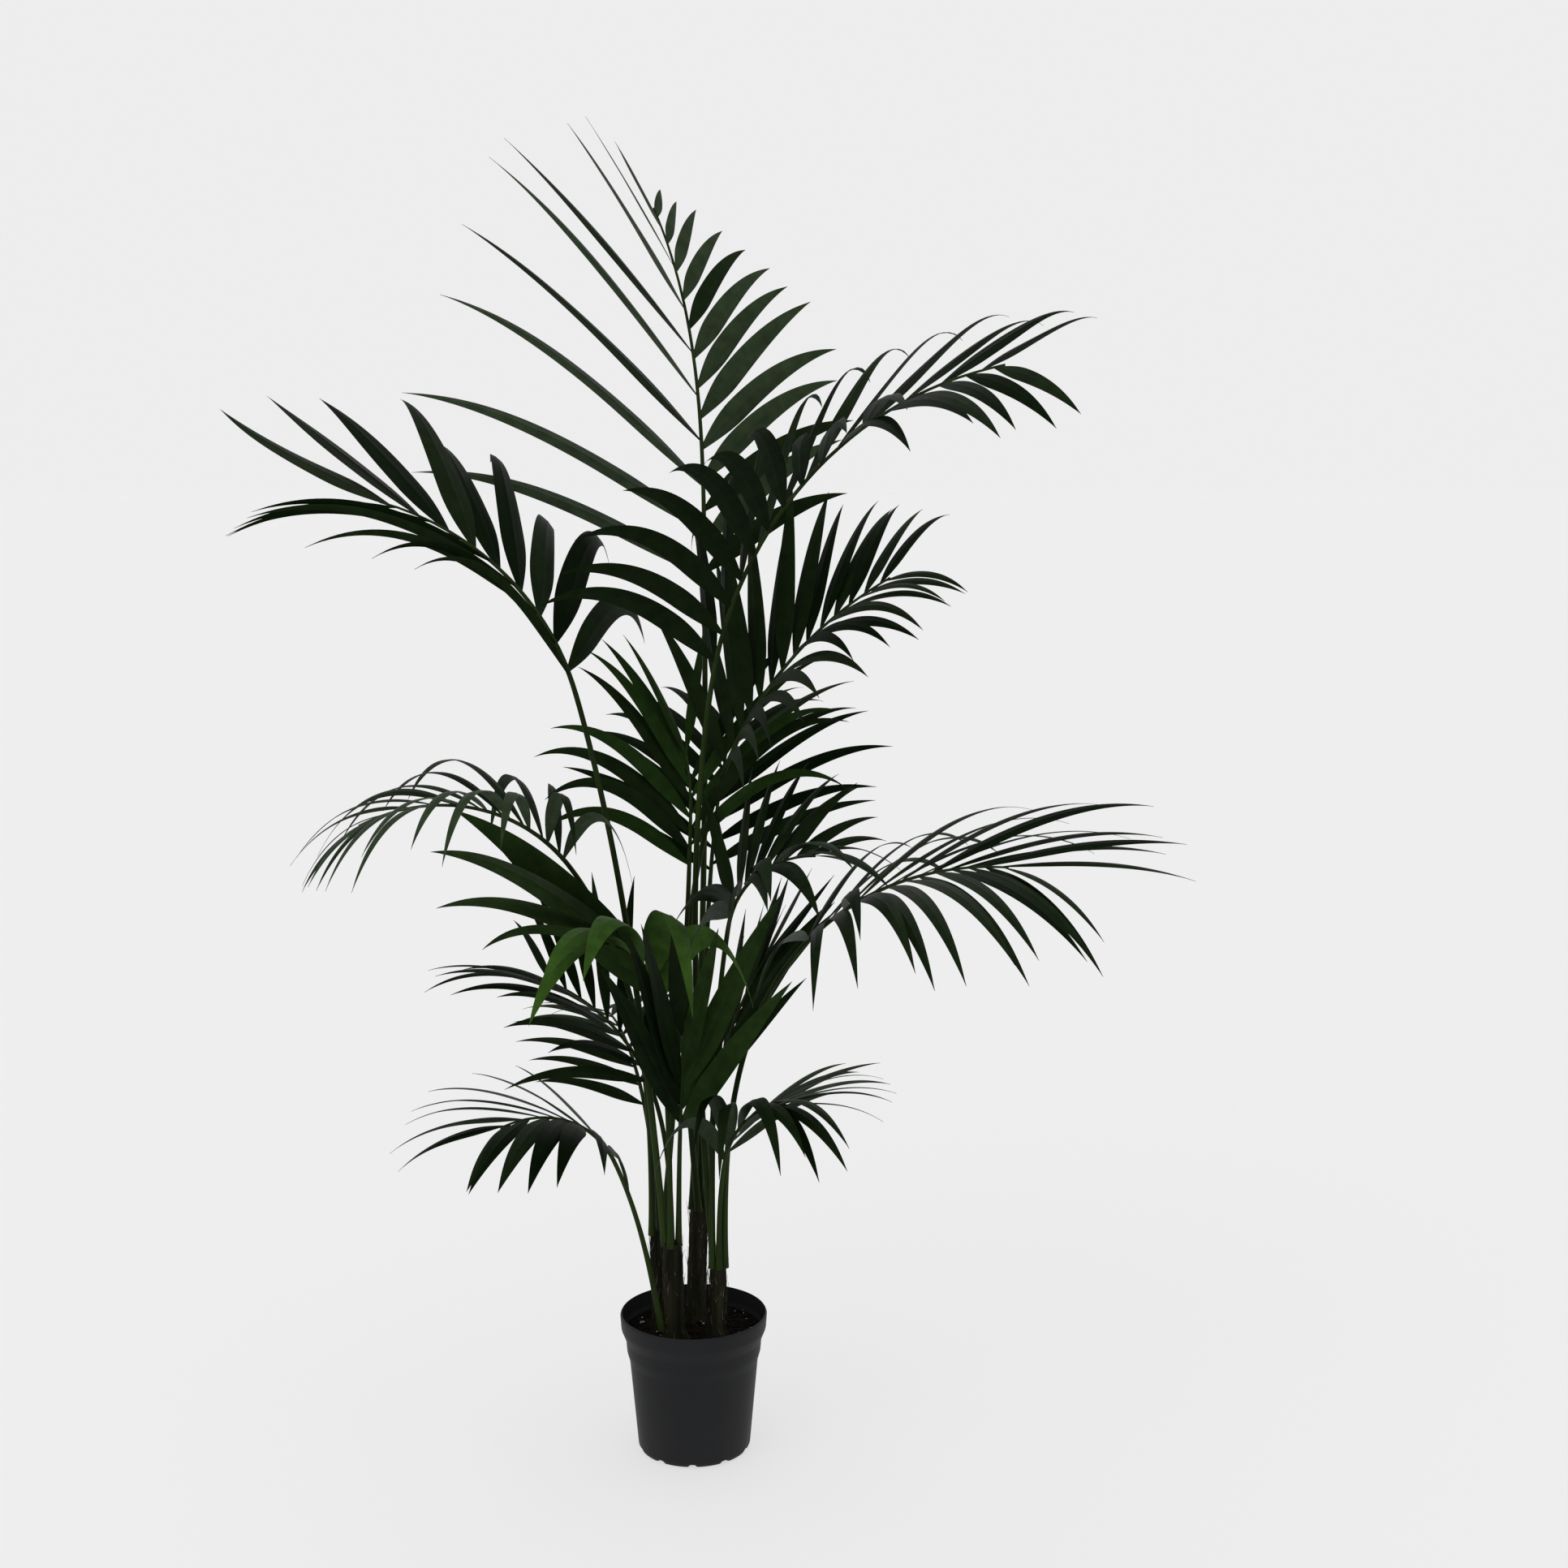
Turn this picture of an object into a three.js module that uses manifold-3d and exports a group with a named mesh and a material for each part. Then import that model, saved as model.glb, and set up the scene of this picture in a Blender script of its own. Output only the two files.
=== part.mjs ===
// Kentia palm in a nursery pot: four stems, sixteen arching pinnate fronds.
// Millimetres, +Z up, origin at the centre of the pot's underside.
import * as THREE from 'three';
import { mergeVertices } from 'three/addons/utils/BufferGeometryUtils.js';
import Module from 'manifold-3d';

const wasm = await Module();
wasm.setup();

// ---- pot and soil -------------------------------------------------------
const POT_HEIGHT = 232;
const POT_WALL = 2.6;
const POT_FLOOR = 3.2;
const POT_SIDES = 40;
const SOIL_SIDES = 20;
// outer radius at height, from the foot to the lip
const POT_OUTSIDE = [
  [84, 0], [89, 2.2], [92, 8], [104.9, 152], [109.4, 168], [111, 188], [118.6, 207], [120, 229],
  [118.4, 232],
];
const LIP_INSIDE = 117.2;
const FLOOR_RADIUS = 86; // inside, where the wall's foot curves in
const FLOOR_CURVE = 2;
const DRAIN_COUNT = 10;
const DRAIN = { at: 92, width: 15, depth: 9, height: 3.4 };
const SOIL_TOP = 202;
const GAP = 0.3;

// ---- stems: foot on the soil, head, top height, girth -------------------
const STEMS = {
  A: { foot: [-29, -44], head: [-32, -50], top: 362, girth: 16 },
  B: { foot: [-52, 5], head: [-58, 0], top: 365, girth: 13 },
  C: { foot: [2, 34], head: [8, 40], top: 392, girth: 15 },
  D: { foot: [39, -40], head: [42, -45], top: 325, girth: 13.5 },
};
const STEM_SIDES = 12;
const STEM_RINGS = [0, 4, 10, 20, 40, 100]; // heights over the soil, close together in the flare
const STEM_LAST_GAP = 12; // no ring nearer than this under the head
const STEM_TAPER = [1.04, 0.98]; // of its girth, at the foot and the head
const STEM_FLARE = 8;
const STEM_FLARE_FALL = 12;
const HEAD_RING = 10.6; // the frond stalks stand on this circle on a stem's head

// ---- leaflet habits -----------------------------------------------------
// spread from the rib, lift out of the blade and droop: each at the neck and at the tip.
// bend: where the droop sets in. taper: how much shorter the last leaflets are.
// roll: turn of a leaflet about its own length, so that it shows its edge.
const HABITS = {
  fan: { spread: [60, 10], lift: [0, 0], droop: [0.6, 0], bend: 2, taper: 0.8, roll: 55 },
  brush: { spread: [50, 30], lift: [-10, 0], droop: [0.5, 0.6], bend: 1.5, taper: 0.8, roll: 0 },
  upright: { spread: [45, 40], lift: [55, 35], droop: [0.4, 0.6], bend: 2, taper: 0.5, roll: 0 },
  crooked: { spread: [35, 35], lift: [55, 25], droop: [2.5, 0.5], bend: 6, taper: 0.5, roll: 0 },
  tossed: { spread: [60, 35], lift: [45, -40], droop: [1, 0.6], bend: 1.5, taper: 0.5, roll: 0 },
  plumed: { spread: [70, 30], lift: [45, 15], droop: [2.4, -0.4], bend: 3, taper: 0.15, roll: 0 },
  streaming: { spread: [35, 30], lift: [-15, -20], droop: [1.1, 0.5], bend: 1.6, taper: 0.6, roll: -45 },
  folded: { spread: [60, 20], lift: [50, -5], droop: [2.2, 1.4], bend: 1.5, taper: 0.6, roll: 0 },
  cascade: { spread: [30, 15], lift: [20, 0], droop: [1.8, 1.2], bend: 1.3, taper: 0.4, roll: 0 },
  hanging: { spread: [70, 35], lift: [5, -10], droop: [0.9, 0.8], bend: 1.4, taper: 0.5, roll: 0 },
  arching: { spread: [50, 20], lift: [20, 10], droop: [1.3, 0.3], bend: 1.8, taper: 0.3, roll: 0 },
  splayed: { spread: [40, 40], lift: [10, 10], droop: [0.1, 1.2], bend: 2, taper: 0.6, roll: 30 },
  erect: { spread: [25, 10], lift: [-30, -20], droop: [0.2, 0], bend: 2, taper: 0.2, roll: 0 },
  spray: { spread: [60, 30], lift: [0, 5], droop: [0.5, 0.7], bend: 1.9, taper: 0.4, roll: 0 },
};
const leaflets = (habit, count, longest, widest) => ({ ...HABITS[habit], count, longest, widest });

// ---- fronds -------------------------------------------------------------
// slot: place of the stalk round the stem's head, degrees; beside: or round its side, at this height.
// heading: the way the frond goes, degrees from +X to +Y; sweep: how far it turns on the way.
// lean: degrees from upright at the foot, the neck and the tip.
const FRONDS = [
  { stem: 'C', slot: 170, heading: 60, sweep: 80, stalk: 1000, blade: 650, lean: [5, 0, 30],
    left: leaflets('fan', 9, 590, 50),
    right: leaflets('brush', 9, 340, 54) },
  { stem: 'D', slot: 135, heading: -30, sweep: 0, stalk: 940, blade: 740, lean: [-5, 10, 80],
    left: leaflets('crooked', 11, 330, 48),
    right: leaflets('tossed', 11, 380, 42) },
  { stem: 'A', slot: 180, heading: 190, sweep: 0, stalk: 910, blade: 430, lean: [5, 15, 74],
    left: leaflets('streaming', 8, 550, 40),
    right: leaflets('plumed', 9, 380, 60) },
  { stem: 'D', slot: 351, heading: -20, sweep: 0, stalk: 560, blade: 380, lean: [0, 40, 90],
    left: leaflets('arching', 9, 400, 40),
    right: leaflets('hanging', 9, 480, 42) },
  { stem: 'B', slot: 220, heading: 200, sweep: 0, stalk: 640, blade: 370, lean: [0, 35, 115],
    left: leaflets('folded', 7, 320, 44),
    right: leaflets('folded', 7, 340, 44) },
  { stem: 'C', slot: 270, heading: 0, sweep: 0, stalk: 730, blade: 420, lean: [-5, 20, 60],
    left: leaflets('upright', 9, 350, 50),
    right: leaflets('hanging', 9, 330, 40) },
  { stem: 'A', slot: 260, heading: -130, sweep: 0, stalk: 400, blade: 180, lean: [0, 10, 75],
    left: leaflets('cascade', 5, 440, 54),
    right: leaflets('splayed', 5, 430, 70) },
  { stem: 'A', slot: 210, beside: 222, heading: 205, sweep: 0, stalk: 310, blade: 220,
    lean: [10, 25, 110],
    left: leaflets('hanging', 7, 260, 32),
    right: leaflets('spray', 7, 300, 32) },
  { stem: 'D', slot: 207, heading: -40, sweep: 30, stalk: 570, blade: 200, lean: [0, 10, 90],
    left: leaflets('upright', 7, 240, 42),
    right: leaflets('hanging', 7, 380, 50) },
  { stem: 'D', slot: 279, heading: -40, sweep: 0, stalk: 170, blade: 200, lean: [0, 10, 80],
    left: leaflets('spray', 7, 260, 32),
    right: leaflets('cascade', 7, 310, 32) },
  { stem: 'A', slot: 100, heading: 170, sweep: 0, stalk: 260, blade: 250, lean: [0, 20, 70],
    left: leaflets('spray', 6, 350, 34),
    right: leaflets('upright', 6, 300, 34) },
  { stem: 'B', slot: 330, heading: 0, sweep: 120, stalk: 600, blade: 200, lean: [5, 5, 25],
    left: leaflets('arching', 6, 310, 58),
    right: leaflets('arching', 6, 340, 48) },
  { stem: 'A', slot: 10, heading: -80, sweep: 0, stalk: 200, blade: 190, lean: [5, 15, 20],
    left: leaflets('erect', 5, 420, 54),
    right: leaflets('erect', 5, 420, 52) },
  { stem: 'C', slot: 80, heading: 80, sweep: 0, stalk: 540, blade: 300, lean: [5, 20, 60],
    left: leaflets('spray', 8, 340, 38),
    right: leaflets('spray', 8, 340, 38) },
  { stem: 'B', slot: 90, beside: 240, heading: 110, sweep: 0, stalk: 310, blade: 290,
    lean: [5, 35, 95],
    left: leaflets('spray', 6, 230, 32),
    right: leaflets('spray', 6, 230, 32) },
  { stem: 'C', slot: 0, heading: 50, sweep: 0, stalk: 200, blade: 240, lean: [5, 15, 50],
    left: leaflets('erect', 6, 260, 32),
    right: leaflets('erect', 6, 260, 32) },
];
const RIB_STEPS = 48;
const STALK_SIDES = 6;
const BLADE_RIB_SIDES = 4;
const STALK_STEPS = 7;
const STALK_GIRTH = [4.2, 1.4]; // foot radius of a short stalk, and what a tall one adds
const TALL_FROND = 1400; // stalk and blade
const NECK_SHARE = 0.74; // of the foot radius
const RIB_END = 1.7;
const RIB_BEND = 15; // degrees of bend to each straight piece of a blade's rib
const LEAST_BENDS = 3;
const RING_START = [0.36, 0.93, 0.05]; // no stalk or rib runs this way

// ---- leaflets -----------------------------------------------------------
const LEAF_STEPS = 32;
const LEAF_RINGS = [0, 6, 14, 23, 32]; // stations of the fine curve kept in the solid
const LEAF_FOOT = 0.16; // of the leaflet's width
const LEAF_WIDEST_AT = 0.3; // of its length
const LEAF_POINT = 1.9; // how late it narrows to the tip
const LEAF_RIDGE = 0.7; // of its thickness over its middle, the rest below its edges
const LEAF_TIP_THINNER = 0.75;
const LEAF_THINS_LATE = 3;
const LEAST_HALF_WIDTH = 1;
const LEAF_SPAN = [0.03, 0.99]; // of the blade's rib
const LEAF_START = { left: 0.25, right: 0.5, end: 0.3 }; // the two sides stand between each other
const NECK_SHORTER = 0.2;
const NECK_FADE = 4; // how soon that is over
const TIP_FADE = 2.2; // how late the leaflets grow short to the blade's tip
const NARROWER = 0.3; // how far a short leaflet's width follows its length
const ROOT_INSET = 0.3; // of the rib's radius
const VARY = { spread: 4, lift: 5, roll: 8, length: 0.05, droop: 0.2 };
const LEAF_THICKNESS = 1 / 84; // of its length
const SAME_PLACE = 1e-4; // corners nearer than this are one
const SLIVER = 0.5; // finest detail kept where leaflets meet
const LEAF_CLEAR = 9.5; // least distance between the blades of two fronds
const OWN_CLEAR = 4; // and of one frond, past the foot of its leaflets
const OWN_FROM = 5;
const EDGE_CLEAR = 5; // beside a leaflet of another frond
const OWN_EDGE_CLEAR = 1;
const RIB_CLEAR = 9;
const STEP_REACH = [0.6, 1]; // of a step of the other leaflet's curve, and mm: just over half a step
const FLOOR_CLEAR = 8;
const POT_ZONE = { radius: 134, top: POT_HEIGHT + 12 }; // no leaflet enters the space over the pot
const BOX_MARGIN = { rib: 20, leaf: 34 };
const ACROSS = [-1, -0.5, 0, 0.5, 1];
// a leaflet that would touch another frond turns aside by these angles, then grows shorter
const TURNS = [0, 7, -7, 14, -14, 22, -22, 30, -30];
const SHORTER = [1, 0.8, 0.6];

// ---- colours ------------------------------------------------------------
const paint = (name, color, roughness) =>
  new THREE.MeshStandardMaterial({ name, color, roughness, metalness: 0 });
const CHARCOAL = paint('charcoal_plastic', 0x2b2d30, 0.62);
const EARTH = paint('potting_soil', 0x17120e, 0.98);
const SHEATH = paint('fibrous_sheath', 0x3a2f1f, 0.9);
const STALK = paint('green_stalk', 0x27381a, 0.5);
const LEAF = paint('dark_leaf', 0x1d2f1c, 0.42);

// ---- small vector helpers ----------------------------------------------
const add = (a, b, k = 1) => [a[0] + b[0] * k, a[1] + b[1] * k, a[2] + b[2] * k];
const dot = (a, b) => a[0] * b[0] + a[1] * b[1] + a[2] * b[2];
const cross = (a, b) => [a[1] * b[2] - a[2] * b[1], a[2] * b[0] - a[0] * b[2], a[0] * b[1] - a[1] * b[0]];
const scaled = (a, k) => [a[0] * k, a[1] * k, a[2] * k];
const unit = (a) => scaled(a, 1 / Math.sqrt(dot(a, a)));
const rad = (d) => (d * Math.PI) / 180;
const blend = (a, b, t) => a * (1 - t) + b * t;
function turned(v, axis, degrees) {
  const c = Math.cos(rad(degrees));
  const s = Math.sin(rad(degrees));
  return add(add(scaled(v, c), cross(axis, v), s), axis, dot(axis, v) * (1 - c));
}
function noise(a, b, c) {
  const x = Math.sin(a * 127.1 + b * 311.7 + c * 74.7 + 0.5) * 43758.5453;
  return 2 * (x - Math.floor(x)) - 1;
}
function along(list, q) {
  const x = q * (list.length - 1);
  const i = Math.min(Math.floor(x), list.length - 2);
  return add(scaled(list[i], 1 - (x - i)), list[i + 1], x - i);
}

// ---- solids -------------------------------------------------------------
// A closed solid from rings of equal size, each a convex loop, with flat ends.
function loft(rings) {
  const n = rings[0].length;
  const position = rings.flat(2);
  let index = [];
  for (let r = 0; r + 1 < rings.length; r += 1) {
    for (let i = 0; i < n; i += 1) {
      const a = r * n + i;
      const b = r * n + ((i + 1) % n);
      index.push(a, b, b + n, a, b + n, a + n);
    }
  }
  const end = (rings.length - 1) * n;
  for (let i = 1; i + 1 < n; i += 1) index.push(0, i + 1, i, end, end + i, end + i + 1);
  const at = (k) => position.slice(index[k] * 3, index[k] * 3 + 3);
  let volume = 0;
  for (let k = 0; k < index.length; k += 3) volume += dot(at(k), cross(at(k + 1), at(k + 2)));
  if (volume < 0) index = index.map((_, k) => index[k - (k % 3) + (2 - (k % 3))]);
  const geometry = new THREE.BufferGeometry();
  geometry.setAttribute('position', new THREE.Float32BufferAttribute(position, 3));
  geometry.setIndex(index);
  return geometry;
}
function toSolid(geometry) {
  geometry.deleteAttribute('normal');
  geometry.deleteAttribute('uv');
  const merged = mergeVertices(geometry, SAME_PLACE);
  return new wasm.Manifold(
    new wasm.Mesh({
      numProp: 3,
      vertProperties: Float32Array.from(merged.attributes.position.array),
      triVerts: Uint32Array.from(merged.index.array),
    }),
  );
}
function toGeometry(solid) {
  const mesh = solid.getMesh();
  const geometry = new THREE.BufferGeometry();
  geometry.setAttribute('position', new THREE.Float32BufferAttribute(mesh.vertProperties, 3));
  geometry.setIndex(Array.from(mesh.triVerts));
  return geometry;
}
// Leaflets that cross can shut in a small void: only the outer shell is kept, without slivers.
function outerShell(solid) {
  const shells = solid.decompose().sort((a, b) => b.volume() - a.volume());
  return shells[0].simplify(SLIVER);
}
const group = new THREE.Group();
function place(name, geometry, material) {
  geometry.deleteAttribute('normal');
  geometry.computeVertexNormals();
  const mesh = new THREE.Mesh(geometry, material);
  mesh.name = name;
  group.add(mesh);
}
function lathe(profile, sides) {
  const points = profile.map(([r, z]) => new THREE.Vector2(r, z));
  return new THREE.LatheGeometry(points, sides).rotateX(Math.PI / 2);
}

// ---- pot ----------------------------------------------------------------
function insideRadius(z) {
  const k = POT_OUTSIDE.findIndex((p) => p[1] >= z);
  const [a, b] = [POT_OUTSIDE[k - 1], POT_OUTSIDE[k]];
  return blend(a[0], b[0], (z - a[1]) / (b[1] - a[1])) - POT_WALL;
}
const WALL_HEIGHTS = POT_OUTSIDE.slice(3, -1).map((p) => p[1]);
const INSIDE_HEIGHTS = [POT_FLOOR + FLOOR_CURVE, ...WALL_HEIGHTS];
const potProfile = [
  [0, 0], ...POT_OUTSIDE,
  [LIP_INSIDE, POT_HEIGHT],
  ...INSIDE_HEIGHTS.map((z) => [insideRadius(z), z]).reverse(),
  [FLOOR_RADIUS, POT_FLOOR], [0, POT_FLOOR],
];
let potSolid = toSolid(lathe(potProfile, POT_SIDES));
for (let i = 0; i < DRAIN_COUNT; i += 1) {
  const a = (2 * Math.PI * (i + 0.5)) / DRAIN_COUNT;
  const notch = new THREE.BoxGeometry(2 * DRAIN.depth, DRAIN.width, 2 * DRAIN.height);
  notch.translate(DRAIN.at, 0, 0);
  notch.rotateZ(a);
  potSolid = potSolid.subtract(toSolid(notch));
}
place('pot', toGeometry(potSolid), CHARCOAL);

const SOIL_HEIGHTS = [...INSIDE_HEIGHTS.filter((z) => z < SOIL_TOP), SOIL_TOP];
SOIL_HEIGHTS[0] += GAP;
const soilProfile = [
  [0, POT_FLOOR + GAP], [FLOOR_RADIUS - 1, POT_FLOOR + GAP],
  ...SOIL_HEIGHTS.map((z) => [insideRadius(z) - 2 * GAP, z]),
  [0, SOIL_TOP],
];
place('soil', toGeometry(toSolid(lathe(soilProfile, SOIL_SIDES))), EARTH);

// ---- stems --------------------------------------------------------------
function stemCentre(stem, z) {
  const t = (z - SOIL_TOP) / (stem.top - SOIL_TOP);
  return [blend(stem.foot[0], stem.head[0], t), blend(stem.foot[1], stem.head[1], t), z];
}
function stemRadius(stem, z) {
  const t = (z - SOIL_TOP) / (stem.top - SOIL_TOP);
  const flare = STEM_FLARE * Math.exp(-(z - SOIL_TOP - GAP) / STEM_FLARE_FALL);
  return stem.girth * blend(STEM_TAPER[0], STEM_TAPER[1], t) + flare;
}
for (const [key, stem] of Object.entries(STEMS)) {
  const heights = STEM_RINGS.map((h) => SOIL_TOP + GAP + h);
  const rings = [...heights.filter((z) => z < stem.top - STEM_LAST_GAP), stem.top].map((z) => {
    const c = stemCentre(stem, z);
    return Array.from({ length: STEM_SIDES }, (_, i) => {
      const a = (2 * Math.PI * i) / STEM_SIDES;
      return add(c, scaled([Math.cos(a), Math.sin(a), 0], stemRadius(stem, z)));
    });
  });
  place(`stem_${key}`, loft(rings), SHEATH);
}

// ---- ribs ---------------------------------------------------------------
function girthOf(f) {
  return STALK_GIRTH[0] + STALK_GIRTH[1] * Math.min(1, (f.stalk + f.blade) / TALL_FROND);
}
function footOf(f) {
  const stem = STEMS[f.stem];
  const a = rad(f.slot);
  const outward = [Math.cos(a), Math.sin(a), 0];
  if (!f.beside) return add([...stem.head, stem.top + GAP], outward, HEAD_RING);
  return add(stemCentre(stem, f.beside), outward, stemRadius(stem, f.beside) + girthOf(f) + GAP);
}
function ribOf(f) {
  const total = f.stalk + f.blade;
  const tangents = [];
  for (let i = 0; i <= RIB_STEPS; i += 1) {
    const s = (i / RIB_STEPS) * total;
    const q = s < f.stalk ? s / f.stalk : (s - f.stalk) / f.blade;
    const lean = s < f.stalk
      ? f.lean[0] + (f.lean[1] - f.lean[0]) * q * q
      : f.lean[1] + (f.lean[2] - f.lean[1]) * q;
    const l = rad(lean);
    const a = rad(f.heading + f.sweep * (s / total) ** 2);
    tangents.push([Math.sin(l) * Math.cos(a), Math.sin(l) * Math.sin(a), Math.cos(l)]);
  }
  const points = [footOf(f)];
  for (let i = 0; i < RIB_STEPS; i += 1) {
    points.push(add(points[i], add(tangents[i], tangents[i + 1]), total / RIB_STEPS / 2));
  }
  const neck = f.stalk / total;
  const start = neck + GAP / total;
  const turn = Math.abs(f.lean[2] - f.lean[1]) + Math.abs(f.sweep) / 2;
  const bends = Math.max(LEAST_BENDS, Math.ceil(turn / RIB_BEND));
  const knots = Array.from({ length: bends + 1 }, (_, i) => blend(start, 1, i / bends));
  return { points, tangents, neck, total, girth: girthOf(f), knots };
}
function ring(centre, direction, radius, sides) {
  const side = unit(cross(direction, RING_START));
  const up = cross(side, direction);
  return Array.from({ length: sides }, (_, i) => {
    const a = (2 * Math.PI * i) / sides;
    return add(add(centre, side, radius * Math.cos(a)), up, radius * Math.sin(a));
  });
}
const ribs = FRONDS.map(ribOf);
function ribRadius(rib, q) {
  if (q <= rib.neck) return rib.girth * blend(1, NECK_SHARE, q / rib.neck);
  return blend(rib.girth * NECK_SHARE, RIB_END, (q - rib.neck) / (1 - rib.neck));
}
function stalkSolid(rib) {
  const rings = [];
  for (let i = 0; i <= STALK_STEPS; i += 1) {
    const q = (rib.neck * i) / STALK_STEPS;
    const direction = i === 0 ? [0, 0, 1] : unit(along(rib.tangents, q));
    rings.push(ring(along(rib.points, q), direction, ribRadius(rib, q), STALK_SIDES));
  }
  return loft(rings);
}
function bladeRib(rib) {
  const rings = [];
  for (const q of rib.knots) {
    const direction = unit(along(rib.tangents, q === rib.knots[0] ? rib.neck : q));
    rings.push(ring(along(rib.points, q), direction, ribRadius(rib, q), BLADE_RIB_SIDES));
  }
  return loft(rings);
}
function onKnots(rib, q) {
  const i = Math.max(1, rib.knots.findIndex((k) => k >= q));
  const [a, b] = [rib.knots[i - 1], rib.knots[i]];
  const t = (q - a) / (b - a);
  return add(scaled(along(rib.points, a), 1 - t), along(rib.points, b), t);
}

// ---- leaflets -----------------------------------------------------------
function leafCurve(base, direction, face, length, width, droop, bend) {
  const curve = { length, mid: [base], ahead: [], across: [], face: [], half: [] };
  let n = face;
  for (let i = 0; i <= LEAF_STEPS; i += 1) {
    const u = i / LEAF_STEPS;
    const d = unit(add(direction, [0, 0, -1], droop * u ** bend));
    n = unit(add(n, d, -dot(n, d)));
    curve.ahead.push(d);
    curve.face.push(n);
    curve.across.push(cross(d, n));
    const w = u < LEAF_WIDEST_AT
      ? LEAF_FOOT + (1 - LEAF_FOOT) * Math.sin(((u / LEAF_WIDEST_AT) * Math.PI) / 2)
      : 1 - ((u - LEAF_WIDEST_AT) / (1 - LEAF_WIDEST_AT)) ** LEAF_POINT;
    curve.half.push((Math.max(w, 0) * width) / 2);
    if (i < LEAF_STEPS) {
      const m = unit(add(direction, [0, 0, -1], droop * ((i + 0.5) / LEAF_STEPS) ** bend));
      curve.mid.push(add(curve.mid[i], m, length / LEAF_STEPS));
    }
  }
  return curve;
}
function leafSolid(c) {
  return loft(LEAF_RINGS.map((i) => {
    const centre = i === 0 ? c.root : c.mid[i];
    const half = Math.max(c.half[i], LEAST_HALF_WIDTH);
    const thick = c.length * LEAF_THICKNESS * (1 - LEAF_TIP_THINNER * (i / LEAF_STEPS) ** LEAF_THINS_LATE);
    const under = (LEAF_RIDGE - 1) * thick;
    return [
      add(add(centre, c.across[i], half), c.face[i], under),
      add(centre, c.face[i], LEAF_RIDGE * thick),
      add(add(centre, c.across[i], -half), c.face[i], under),
    ];
  }));
}
// One leaflet of frond number f: side +1 is left of the heading, k counts from the neck.
function leafOf(f, side, k, extraTurn, share) {
  const frond = FRONDS[f];
  const rib = ribs[f];
  const habit = side > 0 ? frond.left : frond.right;
  const first = side > 0 ? LEAF_START.left : LEAF_START.right;
  const t = (k + first) / (habit.count - LEAF_START.end);
  const q = blend(rib.neck, 1, blend(LEAF_SPAN[0], LEAF_SPAN[1], t));
  const forward = unit(along(rib.tangents, q));
  const h = rad(frond.heading + frond.sweep * q * q);
  const out = [-Math.sin(h), Math.cos(h), 0];
  const up = unit(cross(forward, out));
  const at = ([neck, tip]) => blend(neck, tip, t);
  const spread = rad(at(habit.spread) + VARY.spread * noise(f, k, side + 3));
  const lift = rad(at(habit.lift) + VARY.lift * noise(f, k, side + 7) + extraTurn);
  const outward = add(scaled(out, side * Math.cos(lift)), up, Math.sin(lift));
  const topside = add(scaled(up, Math.cos(lift)), out, -side * Math.sin(lift));
  const direction = add(scaled(forward, Math.cos(spread)), outward, Math.sin(spread));
  let face = unit(add(topside, direction, -dot(topside, direction)));
  face = turned(face, direction, habit.roll + VARY.roll * noise(f, k, side + 23));
  const full = 1 - NECK_SHORTER * (1 - t) ** NECK_FADE - habit.taper * t ** TIP_FADE;
  const shape = full * (1 + VARY.length * noise(f, k, side + 11));
  const droop = at(habit.droop) * (1 + VARY.droop * noise(f, k, side + 17));
  const width = habit.widest * blend(1, shape, NARROWER);
  const inset = ROOT_INSET * ribRadius(rib, q);
  const base = add(along(rib.points, q), outward, inset);
  const length = habit.longest * shape * share;
  const curve = leafCurve(base, direction, face, length, width, droop, habit.bend);
  curve.root = add(onKnots(rib, q), outward, inset);
  return curve;
}
function nearSegment(p, a, b) {
  const ab = add(b, a, -1);
  const t = Math.min(1, Math.max(0, dot(add(p, a, -1), ab) / dot(ab, ab)));
  const d = add(p, add(a, ab, t), -1);
  return Math.sqrt(dot(d, d));
}
const grown = []; // { frond, curve, low, high }
function boxOf(points, margin) {
  const low = [0, 1, 2].map((k) => Math.min(...points.map((p) => p[k])) - margin);
  const high = [0, 1, 2].map((k) => Math.max(...points.map((p) => p[k])) + margin);
  return { low, high };
}
const apart = (a, b) => [0, 1, 2].some((k) => a.low[k] > b.high[k] || b.low[k] > a.high[k]);
const ribBoxes = ribs.map((rib) => boxOf(rib.points, BOX_MARGIN.rib));
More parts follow.
